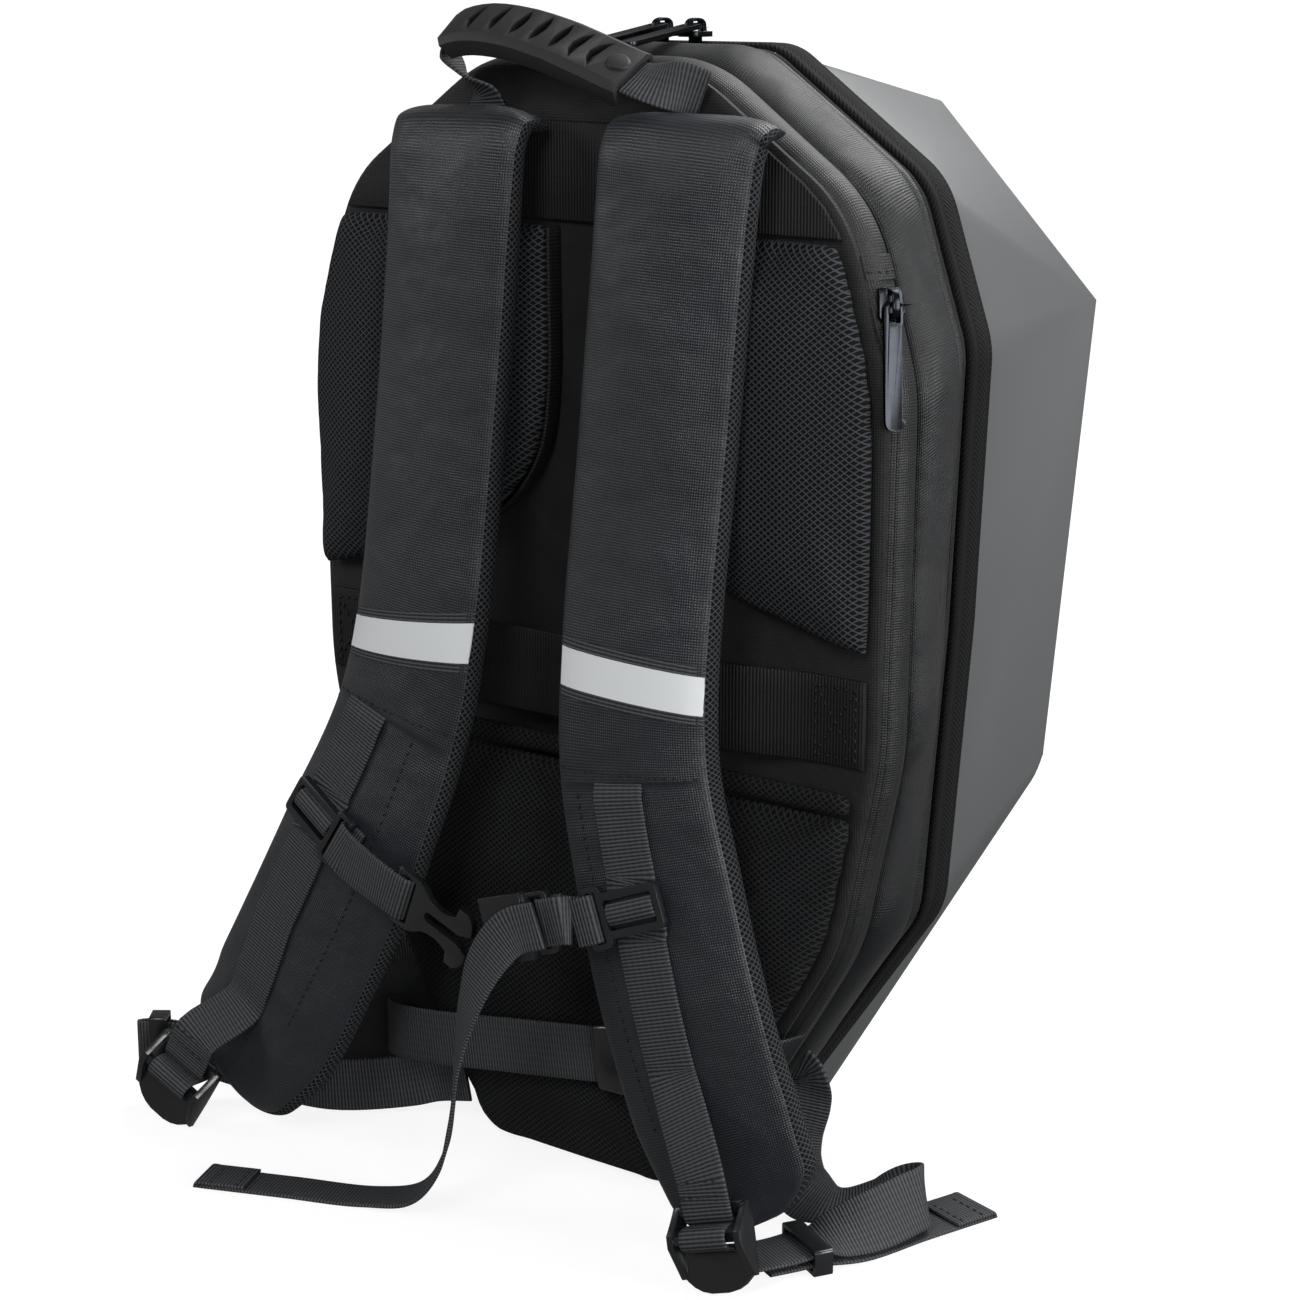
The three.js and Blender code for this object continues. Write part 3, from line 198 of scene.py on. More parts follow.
def sweep(rows, closed=False):
    """Extrudes a ring of points through the rows. The map holds metres round and along."""
    bm = bmesh.new()
    uv_map = bm.loops.layers.uv.new("UVMap")
    ring = [bm.verts.new(p) for p in rows[0]]
    edges = [bm.edges.new(pair) for pair in zip(ring, ring[1:] + ring[:1])]
    first_edges = edges
    count = len(ring)
    widest = max(rows, key=lambda row: sum((a - b).length for a, b in zip(row, row[1:])))
    spans = [(a - b).length for a, b in zip(widest, widest[1:] + widest[:1])]
    girth = sum(spans)
    round_at = [sum(spans[:k]) for k in range(count)]
    where = {v: (round_at[k], 0) for k, v in enumerate(ring)}
    length = 0
    for before, row in zip(rows, rows[1:]):
        made = bmesh.ops.extrude_edge_only(bm, edges=edges)["geom"]
        fresh = {g for g in made if isinstance(g, bmesh.types.BMVert)}
        step = sum((a - b).length for a, b in zip(before, row)) / count
        length += step
        moved = []
        for k, v in enumerate(ring):
            new = next(e.other_vert(v) for e in v.link_edges if e.other_vert(v) in fresh)
            new.co = row[k]
            where[new] = (round_at[k], length)
            moved.append(new)
        ring = moved
        edges = [bm.edges.get(pair) for pair in zip(ring, ring[1:] + ring[:1])]
    if closed:
        bmesh.ops.bridge_loops(bm, edges=first_edges + edges)
        length += sum((a - b).length for a, b in zip(rows[-1], rows[0])) / count
    else:
        bmesh.ops.holes_fill(bm, edges=first_edges + edges, sides=0)
    for face in bm.faces:
        places = [where[loop.vert] for loop in face.loops]
        wide = max(p[0] for p in places) - min(p[0] for p in places) > girth / 2
        long = closed and max(p[1] for p in places) - min(p[1] for p in places) > length / 2
        for loop, (u, v) in zip(face.loops, places):
            u += girth if wide and u < girth / 2 else 0
            v += length if long and v < length / 2 else 0
            loop[uv_map].uv = (u, v)
    bmesh.ops.recalc_face_normals(bm, faces=bm.faces)
    return bm


def ring_wall(section, shown):
    """Sweeps a section round the pack. Its first rows show, and the others stay off the floor."""
    rows = [around(y, out, 0 if i < shown else 2) for i, (y, out) in enumerate(section)]
    return sweep(list(zip(*rows)), closed=True)


def piece(name, bm, material, nodes=(), body="pack", crease=None):
    """Makes an object of a bmesh, smooth but for edges over crease degrees."""
    mesh = bpy.data.meshes.new(name)
    bm.to_mesh(mesh)
    bm.free()
    mesh.materials.append(material)
    mesh.shade_smooth()
    if crease:
        mesh.set_sharp_from_angle(angle=math.radians(crease))
    made = bpy.data.objects.new(name, mesh)
    scene.collection.objects.link(made)
    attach(made, body)
    if nodes:
        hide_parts(*nodes)
    return made


def ruffle(bm, long, fold, deep, seed):
    """Soft folds in a side wall: long round the pack, fold over its depth and deep high, in mm."""
    bm.normal_update()
    shifts = []
    for v in bm.verts:
        x, y, z = v.co / MM
        spot = Vector((x / long + seed, y / fold, z / long))
        shifts.append(v.normal * (noise.noise(spot) * deep * MM))
    for v, shift in zip(bm.verts, shifts):
        v.co += shift
        v.co.z = max(v.co.z, 0)


def smooth_out(made):
    """One level of subdivision, the same on screen and in the picture."""
    rounder = made.modifiers.new("rounder", "SUBSURF")
    rounder.levels = 1
    rounder.render_levels = 1


def blend(tree, shader, share, dark, light):
    """Colours the surface between dark and light."""
    shade = add(
        tree,
        "ShaderNodeMix",
        {"Factor": share, "A": linear(dark), "B": linear(light)},
        data_type="RGBA",
    )
    tree.links.new(shade.outputs["Result"], shader.inputs["Base Color"])


def emboss(tree, shader, height, strength, deep, **below):
    """Gives the surface bumps, deep in mm, on top of any bumps below them."""
    inputs = {"Height": height, "Strength": strength, "Distance": deep * MM, **below}
    bumps = add(tree, "ShaderNodeBump", inputs).outputs["Normal"]
    tree.links.new(bumps, shader.inputs["Normal"])
    return bumps


# Coated polyester: a fine plain weave under a soft polyurethane skin, so it shows small even
# bumps, soft creases and a dull sheen. The real threads are under 1 mm, too fine to show, so
# they are drawn at 1.1 mm.
BANDS = 2 * math.pi / 20  # the length of one band of the wave texture at scale 1
COATED_PITCH = 1.1 * MM


def coated_cloth(name, dark, light, roughness):
    material, tree, shader = start_finish(
        name, light, roughness, Specular_IOR_Level=0.5, Sheen_Weight=0.04, Sheen_Roughness=0.4
    )
    at = add(tree, "ShaderNodeUVMap", uv_map="UVMap").outputs["UV"]
    warp, weft = [
        add(
            tree,
            "ShaderNodeTexWave",
            {"Vector": at, "Scale": BANDS / COATED_PITCH, "Distortion": 0.4, "Detail Scale": 3.0},
            bands_direction=way,
        ).outputs["Fac"]
        for way in ("X", "Y")
    ]
    weave = add(tree, "ShaderNodeMath", {0: warp, 1: weft}, operation="MULTIPLY").outputs[0]
    spot = add(tree, "ShaderNodeTexCoord").outputs["Object"]
    cloud = add(tree, "ShaderNodeTexNoise", {"Vector": spot, "Scale": 22, "Detail": 4})
    faded = add(
        tree, "ShaderNodeMath", {0: cloud.outputs["Fac"], 1: 0.4}, operation="MULTIPLY"
    ).outputs[0]
    mixed = add(
        tree, "ShaderNodeMath", {0: weave, 1: 0.9, 2: faded}, operation="MULTIPLY_ADD"
    ).outputs[0]
    blend(tree, shader, mixed, dark, light)
    creases = add(tree, "ShaderNodeTexNoise", {"Vector": spot, "Scale": 38, "Detail": 2})
    folds = emboss(tree, shader, creases.outputs["Fac"], 0.5, 5)
    emboss(tree, shader, weave, 0.6, 0.3, Normal=folds)
    return material


coated = coated_cloth("coated_polyester", "#0b0d10", "#30343a", 0.36)
side_cloth = coated_cloth("coated_side_polyester", "#07080a", "#181b1e", 0.42)

GUSSET_SECTION = [
    # depth, and distance out of the outline, in mm: a full bulge, then a fold beside the zip
    (-18.2, -6.5),
    (-17.8, -3.4),
    (-16.4, -1.0),
    (-13.5, 0.9),
    (-9.5, 2.1),
    (-5, 2.8),
    (-1, 2.8),
    (2, 2.1),
    (3.8, 0.6),
    (4.8, -1.4),
    (5.8, -1.6),
    (7.2, -0.6),
    (8.8, -0.6),
    (10.2, -1.8),
    (11, -4.5),
    (9, -6.5),
    (0, -2),
    (-12, -2.5),
]
GUSSET_SHOWN = 15  # rows of the gusset that show
bm = ring_wall(GUSSET_SECTION, GUSSET_SHOWN)
ruffle(bm, 80, 11, 1.1, 1)
gusset = piece("gusset_cloth", bm, side_cloth, ["gusset"])
smooth_out(gusset)

# Main zip: a spiral zip in the groove between gusset and binding. Its tape runs in under the
# gusset's fold and against the shell.

zip_cloth = coated_cloth("zip_tape", "#0c0d0e", "#17181a", 0.75)
ZIP_SECTION = [
    (11.5, -3),
    (12.4, -2.4),
    (12.9, -1.8),
    (13.4, -2.4),
    (14.2, -3),
    (15.4, -5),
    (15.4, -8),
    (8, -9),
    (8, -8),
    (11.6, -6.8),
]
rows = list(zip(*[around(y, out, 0.2) for y, out in ZIP_SECTION]))
piece("main_zip_tape", sweep(rows, closed=True), zip_cloth, ["main_zip"])

# Side roll: a soft tube of a darker cloth round the back, with the side pocket's zip sewn along
# it. The zip's spiral shows through the cloth as a strip of fine ribs. The roll's seam allowance
# runs in under the gusset.

roll_cloth = coated_cloth("coated_roll_polyester", "#050607", "#141619", 0.5)
ROLL_SECTION = [
    (-37.8, -6),
    (-36.4, -3.4),
    (-35, -1.5),
    (-32.6, -0.1),
    (-29.5, 0.8),
    (-26, 0.9),
    (-23, 0.2),
    (-20.8, -1.4),
    (-19.3, -3.6),
    (-19, -6),
    (-18.6, -8),
    (-14, -8.6),
    (-14, -9.6),
    (-21, -9),
    (-28, -4),
    (-34.5, -6.5),
]
ROLL_SHOWN = 10  # rows of the roll that show
bm = ring_wall(ROLL_SECTION, ROLL_SHOWN)
ruffle(bm, 60, 14, 0.7, 2)
roll = piece("side_roll", bm, roll_cloth, ["zip_roll"])
smooth_out(roll)

ZIP_FROM_Z, ZIP_TO_Z = 372, 74
RIB_STEP = 0.9  # half the ribs' pitch in mm
SPIRAL_SECTION = [
    # depth in mm, and share of the rib's height
    (-34.8, -1),
    (-34.2, 0.6),
    (-33, 1),
    (-31.6, 0.5),
    (-30.2, 1),
    (-29, 0.6),
    (-28.4, -1),
]
roll_skin = BVHTree.FromObject(roll, bpy.context.evaluated_depsgraph_get())
zip_rows = []
for k in range(round((ZIP_FROM_Z - ZIP_TO_Z) / RIB_STEP)):
    z = ZIP_FROM_Z - k * RIB_STEP
    lift = 0.75 if k % 2 else 0.4
    row = []
    for y, share in SPIRAL_SECTION:
        hit = roll_skin.ray_cast(Vector((0.25, y * MM, z * MM)), Vector((-1, 0, 0)))[0]
        row.append(hit + Vector((lift * share * MM, 0, 0)))
    zip_rows.append(row)
piece("side_zip_spiral", sweep(zip_rows), roll_cloth)

# Binding: a woven herringbone tape folded over the shell's rim and stitched through along both
# sides. Its slanting ribs show as a fine zigzag in the black.

binding_tape, tree, shader = start_finish("herringbone_tape", "#141516", 0.85, Specular_IOR_Level=0.25)
at = add(tree, "ShaderNodeUVMap", uv_map="UVMap").outputs["UV"]
split = add(tree, "ShaderNodeSeparateXYZ", {"Vector": at})
TWILL_PITCH = 2.2 * MM
zigzag = add(
    tree,
    "ShaderNodeMath",
    {0: split.outputs["X"], 1: 8 * MM},
    operation="PINGPONG",
).outputs[0]
slant = add(tree, "ShaderNodeMath", {0: zigzag, 1: split.outputs["Y"]}, operation="ADD").outputs[0]
line = add(tree, "ShaderNodeCombineXYZ", {"X": slant}).outputs[0]
twill = add(tree, "ShaderNodeTexWave", {"Vector": line, "Scale": BANDS / TWILL_PITCH})
blend(tree, shader, twill.outputs["Fac"], "#020203", "#141517")
emboss(tree, shader, twill.outputs["Fac"], 0.6, 0.5)

BINDING_SECTION = [
    (14.6, -2.2),
    (14.8, -0.6),
    (16, 0.3),
    (18, 0.2),
    (19.5, -0.2),
    (21, 0.3),
    (24, 0.5),
    (27, 0.3),
    (28.4, -0.2),
    (29.6, 0.2),
    (30.8, -0.6),
    (31, -2.2),
    (23, -2.6),
]
BINDING_SHOWN = 12  # rows of the tape that show
bm = ring_wall(BINDING_SECTION, BINDING_SHOWN)
piece("shell_binding_tape", bm, binding_tape, ["shell_binding"])

# Hard shell: moulded from polypropylene in flat facets with softly rounded edges. Its fine
# mould texture scatters light, so it looks matt grey with broad soft highlights.

shell_plastic, tree, shader = start_finish("moulded_polypropylene", "#5d5f60", 0.48)
spot = add(tree, "ShaderNodeTexCoord").outputs["Object"]
grain = add(tree, "ShaderNodeTexNoise", {"Vector": spot, "Scale": 1 / (1.1 * MM), "Detail": 3})
cloud = add(tree, "ShaderNodeTexNoise", {"Vector": spot, "Scale": 9, "Detail": 3})
blend(tree, shader, cloud.outputs["Fac"], "#535556", "#616364")
emboss(tree, shader, grain.outputs["Fac"], 0.25, 0.2)

bm = bmesh.new()
bm.from_mesh(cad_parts["hard_shell"].data)
bmesh.ops.remove_doubles(bm, verts=bm.verts, dist=1e-5)
hull = bmesh.ops.convex_hull(bm, input=bm.verts)
inside = list({g for g in hull["geom_interior"] + hull["geom_unused"] if g.is_valid})
bmesh.ops.delete(bm, geom=[g for g in inside if isinstance(g, bmesh.types.BMVert)], context="VERTS")
kept = {f for f in hull["geom"] if isinstance(f, bmesh.types.BMFace) and f.is_valid}
bmesh.ops.delete(bm, geom=[f for f in bm.faces if f not in kept], context="FACES")
bmesh.ops.dissolve_limit(bm, angle_limit=math.radians(1), verts=bm.verts, edges=bm.edges)
bmesh.ops.recalc_face_normals(bm, faces=bm.faces)
rims = [e for e in bm.edges if len(e.link_faces) == 2 and e.calc_face_angle() > math.radians(14)]
bmesh.ops.bevel(
    bm, geom=rims, offset=5 * MM, segments=4, profile=0.5, affect="EDGES", material=-1
)
piece("moulded_shell", bm, shell_plastic, ["hard_shell"], crease=25)

# Back panel: coated cloth over a stiff sheet, flat, with its edge turned in under the roll and
# sewn to it. Little of it shows, as a dull black made darker still by painted shade for the recess
# behind the pads and straps.


def map_flat(bm, across, along):
    """Lays the map flat over two of the axes, in metres."""
    uv_map = bm.loops.layers.uv.active or bm.loops.layers.uv.new("UVMap")
    for face in bm.faces:
        for loop in face.loops:
            loop[uv_map].uv = (loop.vert.co[across], loop.vert.co[along])


bm = sweep(
    [
        around(y, out, floor)
        for y, out, floor in ((-37, -3, 1), (-39, -3, 1), (-40, -4.5, 2), (-40.2, -7, 3))
    ]
)
map_flat(bm, 0, 2)
# A darker copy of the coated cloth: painted shade of the recess behind the pads and straps.
panel_cloth_painted_shade = coated_cloth("coated_panel_polyester_painted_shade", "#08090a", "#121315", 0.7)
piece("back_panel_cloth", bm, panel_cloth_painted_shade, ["back_panel"], crease=40)

# Back pads: foam under a black knitted air mesh, sewn to the panel all round their foot. The
# cover is blown up a little by its foam, so its face is full and its edges are round.

# Air mesh: knitted nylon with open diamond cells about 3.4 mm wide and 2.7 mm tall. The threads
# catch a little light and the cells are almost black.
CELL_PITCH = 2.1 * MM
CELL_LEAN = math.radians(52)


def air_mesh_finish(name, dark, light):
    material, tree, shader = start_finish(name, light, 0.9, Specular_IOR_Level=0.25)
    at = add(tree, "ShaderNodeUVMap", uv_map="UVMap").outputs["UV"]
    threads = []
    for lean in (CELL_LEAN, -CELL_LEAN):
        turned = add(tree, "ShaderNodeVectorRotate", {"Vector": at, "Angle": lean})
        threads.append(
            add(
                tree,
                "ShaderNodeTexWave",
                {"Vector": turned.outputs[0], "Scale": BANDS / CELL_PITCH, "Distortion": 0.5},
            ).outputs["Fac"]
        )
    net = add(tree, "ShaderNodeMath", {0: threads[0], 1: threads[1]}, operation="MAXIMUM").outputs[0]
    knit = add(
        tree,
        "ShaderNodeMapRange",
        {"Value": net, "From Min": 0.7, "From Max": 0.95},
        interpolation_type="SMOOTHSTEP",
    ).outputs["Result"]
    blend(tree, shader, knit, dark, light)
    emboss(tree, shader, knit, 0.8, 0.9)
    return material


air_mesh = air_mesh_finish("knitted_air_mesh", "#020202", "#3b3e42")
# The lumbar pad and its hem roll wear a darker copy of the air mesh: painted shade, for the shadow that
# the straps cast on them.
lumbar_mesh_painted_shade = air_mesh_finish("knitted_lumbar_mesh_painted_shade", "#010101", "#242628")


def inflate(made, sewn, cap):
    """Blows a closed cover up like a filled pad. Sewn points stay, and no point moves over cap mm."""
    mesh = made.data
    before = [v.co.copy() for v in mesh.vertices]
    held = made.vertex_groups.new(name="sewn")
    held.add([i for i, co in enumerate(before) if sewn(co)], 1, "REPLACE")
    cloth = made.modifiers.new("cover", "CLOTH")
    cloth.settings.quality = 5
    cloth.settings.mass = 0.3
    cloth.settings.tension_stiffness = 20
    cloth.settings.use_pressure = True
    cloth.settings.uniform_pressure_force = 4
    cloth.settings.vertex_group_mass = "sewn"
    cloth.settings.effector_weights.gravity = 0
    cloth.collision_settings.use_collision = False
    for step in range(1, 21):
        scene.frame_set(step)
    moved = made.evaluated_get(bpy.context.evaluated_depsgraph_get())
    shifts = [new.co - old for new, old in zip(moved.data.vertices, before)]
    made.modifiers.remove(cloth)
    made.vertex_groups.clear()
    for v, old, shift in zip(mesh.vertices, before, shifts):
        v.co = old + shift * min(1, cap * MM / max(shift.length, 1e-9))
        v.co.z = max(v.co.z, 0)
    scene.frame_set(1)


def cover(name, node, voxel, cap, sewn, material):
    """A padded cover: the part's own form in even small faces, blown up by its filling."""
    bm = bmesh.new()
    bm.from_mesh(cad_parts[node].data)
    bmesh.ops.remove_doubles(bm, verts=bm.verts, dist=1e-5)
    rough = bpy.data.meshes.new(name + "_form")
    bm.to_mesh(rough)
    bm.free()
    form = bpy.data.objects.new(name + "_form", rough)
    scene.collection.objects.link(form)
    remesh = form.modifiers.new("even", "REMESH")
    remesh.mode = "VOXEL"
    remesh.voxel_size = voxel * MM
    even = form.evaluated_get(bpy.context.evaluated_depsgraph_get())
    bm = bmesh.new()
    bm.from_mesh(even.data)
    bpy.data.objects.remove(form)
    for _ in range(7):
        bmesh.ops.smooth_vert(
            bm, verts=bm.verts, factor=0.5, use_axis_x=True, use_axis_y=True, use_axis_z=True
        )
    map_flat(bm, 0, 2)
    made = piece(name, bm, material, [node])
    inflate(made, sewn, cap)
    smooth_out(made)


def at_panel(co):
    return co.y > -43 * MM


for side in ("left", "right"):
    cover("back_pad_cover_" + side, "back_pad_" + side, 3.2, 3, at_panel, air_mesh)
# The lumbar cover and its hem take the darker mesh, with its painted shade.
cover("lumbar_cover", "lumbar_pad", 3.2, 3, at_panel, lumbar_mesh_painted_shade)
cover("lumbar_hem_roll", "lumbar_hem", 2.5, 1, at_panel, lumbar_mesh_painted_shade)

# Yoke: a broad ribbed nylon band sewn across the top of the panel. The straps' upper ends are sewn
# over it.

# Nylon webbing: ribs across a flat woven band catch the light as fine lines. The real ribs are
# about 1 mm and are drawn at 1.5 mm so that they show.
RIB_PITCH = 1.5 * MM


def webbing_finish(name, dark, light):
    material, tree, shader = start_finish(name, light, 0.65, Specular_IOR_Level=0.35)
    at = add(tree, "ShaderNodeUVMap", uv_map="UVMap").outputs["UV"]
    ribs = add(
        tree,
        "ShaderNodeTexWave",
        {"Vector": at, "Scale": BANDS / RIB_PITCH, "Distortion": 0.6, "Detail Scale": 2.0},
        bands_direction="Y",
    ).outputs["Fac"]
    cords = add(
        tree,
        "ShaderNodeTexWave",
        {"Vector": at, "Scale": BANDS / (2 * RIB_PITCH), "Distortion": 0.4},
        bands_direction="X",
    ).outputs["Fac"]
    height = add(
        tree, "ShaderNodeMath", {0: cords, 1: 0.14, 2: ribs}, operation="MULTIPLY_ADD"
    ).outputs[0]
    blend(tree, shader, height, dark, light)
    emboss(tree, shader, height, 0.5, 0.5)
    return material


webbing = webbing_finish("nylon_webbing", "#08090a", "#47494d")
# The band's colours are darker than the webbing's: the bands' own dark nylon with painted shade on top,
# for the luggage band, which lies in shadow. The yoke and the pad tape share them.
band = webbing_finish("nylon_band_painted_shade", "#030304", "#161719")


def copied(node):
    """A merged copy of one of the part's own meshes, with its flat faces whole."""
    bm = bmesh.new()
    bm.from_mesh(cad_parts[node].data)
    bmesh.ops.remove_doubles(bm, verts=bm.verts, dist=1e-5)
    bmesh.ops.dissolve_limit(bm, angle_limit=math.radians(1), verts=bm.verts, edges=bm.edges)
    bmesh.ops.recalc_face_normals(bm, faces=bm.faces)
    return bm


def soften(bm, radius, least, segments=2):
    """Rounds the edges that turn by more than least degrees."""
    sharp = [
        e
        for e in bm.edges
        if len(e.link_faces) == 2 and e.calc_face_angle() > math.radians(least)
    ]
    bmesh.ops.bevel(
        bm,
        geom=sharp,
        offset=radius * MM,
        segments=segments,
        profile=0.5,
        affect="EDGES",
        material=-1,
        clamp_overlap=True,
    )


bm = copied("yoke")
soften(bm, 0.8, 40)
map_flat(bm, 2, 0)
piece("yoke_band", bm, band, ["yoke"], crease=40)

# Luggage band: a strong nylon band across the back for a trolley's handle. It is sewn down at both
# ends and stands a little off the panel between them.


def on_curve(points, share):
    """A point of the centripetal Catmull-Rom curve through the points."""
    place = min(max(share, 0), 1) * (len(points) - 1)
    i = min(int(place), len(points) - 2)
    p1, p2 = points[i], points[i + 1]
    p0 = points[i - 1] if i > 0 else 2 * p1 - p2
    p3 = points[i + 2] if i + 2 < len(points) else 2 * p2 - p1
    middle = max((p2 - p1).length ** 0.5, 1e-6)
    first = (p1 - p0).length ** 0.5 or middle
    last = (p3 - p2).length ** 0.5 or middle
    leave = ((p1 - p0) / first - (p2 - p0) / (first + middle) + (p2 - p1) / middle) * middle
    arrive = ((p2 - p1) / middle - (p3 - p1) / (middle + last) + (p3 - p2) / last) * middle
    w = place - i
    return (
        p1
        + leave * w
        + (3 * (p2 - p1) - 2 * leave - arrive) * w**2
        + (2 * (p1 - p2) + leave + arrive) * w**3
    )


def along_curve(table, steps):
    """Rows of a strap, in mm: points and directions across it, from a table of both."""
    at = [Vector(row[0]) for row in table]
    across = [Vector(row[1]) for row in table]
    return [(on_curve(at, k / steps), on_curve(across, k / steps)) for k in range(steps + 1)]


WEB_THICK = 1.6


def strap_rows(rows, section):
    """Puts a section (across, off the face, in mm) on every row of a strap."""
    rings = []
    for k, (at, across) in enumerate(rows):
        along = (rows[min(k + 1, len(rows) - 1)][0] - rows[max(k - 1, 0)][0]).normalized()
        level = (across - along * across.dot(along)).normalized()
        face = along.cross(level)
        rings.append([(at + level * u + face * w) * MM for u, w in section])
    return rings


def web_section(wide, thick=WEB_THICK):
    """A flat woven band with rounded edges."""
    half, lift = wide / 2, thick / 2
    side = [(half, 0), (half - 0.25, lift * 0.7), (half - 0.9, lift)]
    top = [(half * share, lift) for share in (0.5, 0, -0.5)]
    other = [(-u, w) for u, w in reversed(side)]
    upper = side + top + other
    return upper + [(-u, -w) for u, w in upper[1:-1]]


def web(name, rows, wide, nodes, material=webbing):
    """A woven strap through the rows."""
    piece(name, sweep(strap_rows(rows, web_section(wide))), material, nodes)


TROLLEY_Z = 221
trolley_half = [(143, -41.4), (116, -41.6), (82, -48.5), (0, -51)]
trolley_path = trolley_half + [(-x, y) for x, y in reversed(trolley_half[:-1])]
trolley_table = [((x, y, TROLLEY_Z), (0, 0, 1)) for x, y in trolley_path]
# Its dark band colours carry painted shade for the shadow on the luggage band.
web("luggage_band", along_curve(trolley_table, 60), 36, ["trolley_band"], band)

# Pad tape: a narrow nylon tape sewn over the left pad's inner edge, from the yoke downwards, so
# that the mesh's cut edge is covered.

TAPE_ROWS = [
    ((-10.6, -45, 407), (0, 1, 0)),
    ((-10.4, -45, 380), (0, 1, 0)),
    ((-10.5, -45, 345), (0, 1, 0)),
    ((-15.4, -45, 315), (0, 1, 0)),
    ((-30.4, -45, 293.3), (0, 1, 0)),
    ((-53.5, -45, 276.8), (0, 1, 0)),
]
web("pad_tape", along_curve(TAPE_ROWS, 40), 8, (), band)

# Shoulder straps: a coated face and an air mesh back sewn together over foam. The face of the
# upper part overlaps the lower part in a stitched seam, which also holds the sewn rail's end.

STRAP_TOP = [
    # left x, right x, y, z, width and thickness in mm
    (-49, 67, -44.5, 452, 76, 8),
    (-49, 67, -51, 453.5, 76, 9),
    (-49, 66.5, -59, 451, 75, 11),
    (-49, 66, -64.5, 442, 74, 12),
    (-49.5, 65, -67, 425, 73, 13),
    (-50, 64, -69.5, 400, 72, 14),
    (-53.5, 61, -75, 330, 72, 15),
    (-58.5, 59, -84.5, 240, 72, 15),
]
STRAP_LOW = {
    # x, y, z, width, thickness, and the rail's distance from the middle
    "right": [
        (61, -87, 197, 74, 15, -5),
        (73, -89, 150, 77, 15, -6),
        (86, -91, 108, 79, 15, -7),
        (102, -90, 62, 80, 15, -8),
        (115, -88, 34, 74, 14, -7),
        (123, -87, 20, 56, 11, -6),
    ],
    "left": [
        (-67, -88, 199, 74, 15, -13),
        (-86, -95, 148, 82, 15, -17),
        (-113, -99, 94, 84, 15, -17),
        (-136, -102, 54, 84, 15, -11),
        (-152, -105, 33, 74, 14, -7),
        (-162, -106, 21, 54, 11, -6),
    ],
}
STRAP_TURN = {"left": math.radians(-2), "right": math.radians(6)}
STRAP_RINGS = 100
SEAM_Z = {"left": 199, "right": 194}
SEAM_STEP = 1.2  # the upper face stands this far over the lower one


def strap_table(side):
    """Rows of a strap: point, width, thickness and the rail's place."""
    first_rail = STRAP_LOW[side][0][5]
    top = [
        (Vector((left if side == "left" else right, y, z)), wide, thick, first_rail)
        for left, right, y, z, wide, thick in STRAP_TOP
    ]
    return top + [(Vector(row[:3]), *row[3:]) for row in STRAP_LOW[side]]


def strap_at(side, share):
    """The strap's frame at a share of its length: point, across, up, outward, and its row values."""
    table = strap_table(side)
    points = [row[0] for row in table]
    place = share * (len(table) - 1)
    i = min(int(place), len(table) - 2)
    values = [a + (b - a) * (place - i) for a, b in zip(table[i][1:], table[i + 1][1:])]
    up = (on_curve(points, share - 1e-4) - on_curve(points, share + 1e-4)).normalized()
    level = Vector((math.cos(STRAP_TURN[side]), math.sin(STRAP_TURN[side]), 0))
    across = (level - up * level.dot(up)).normalized()
    return on_curve(points, share), across, up, across.cross(up), values


def strap_share(side, z):
    """The share at which the hanging part of the strap passes height z."""
    points = [row[0] for row in strap_table(side)]
    high, low = 0.3, 1.0
    for _ in range(30):
        half = (high + low) / 2
        if on_curve(points, half).z > z:
            high = half
        else:
            low = half
    return low


def strap_section(wide, thick, lift):
    """Right seam, over the face and round the left edge to its seam, then the mesh side and back."""
    half = wide / 2
    right = [
        (half - 3, -4.2),
        (half - 3.8, -3.1),
        (half - 7, lift * 0.6 - 1.9),
        (half - 14, lift - 0.9),
    ]
    middle = [(half * 0.35, lift - 0.4), (0, lift - 0.3), (-half * 0.35, lift - 0.4)]
    left = [(13 - half, lift - 0.8), (6 - half, lift * 0.6 - 1.7), (1.6 - half, -0.24 * thick)]
    left_seam = (0.2 - half, -0.45 * thick)
    bend = min(4, (thick - 2.4) / 2.5)
    left_edge = [(0.4 - half, bend - thick), (bend - half, -thick)]
    back = [(-half * 0.5, -thick - 0.2), (0, -thick - 0.2), (half * 0.5, -thick - 0.2)]
    right_edge = [
        (half - bend, -thick),
        (half - 0.3, bend - thick),
        (half, -(2.4 + thick) / 2),
        (half - 0.1, -2.6 - bend),
        (half - 1.2, -3.9),
    ]
    return right + middle + left + [left_seam] + left_edge + back + right_edge


FACE_COUNT = 11  # points of the section on the coated face

END_SHARE = 0.93  # the strap's end is rounded beyond this share

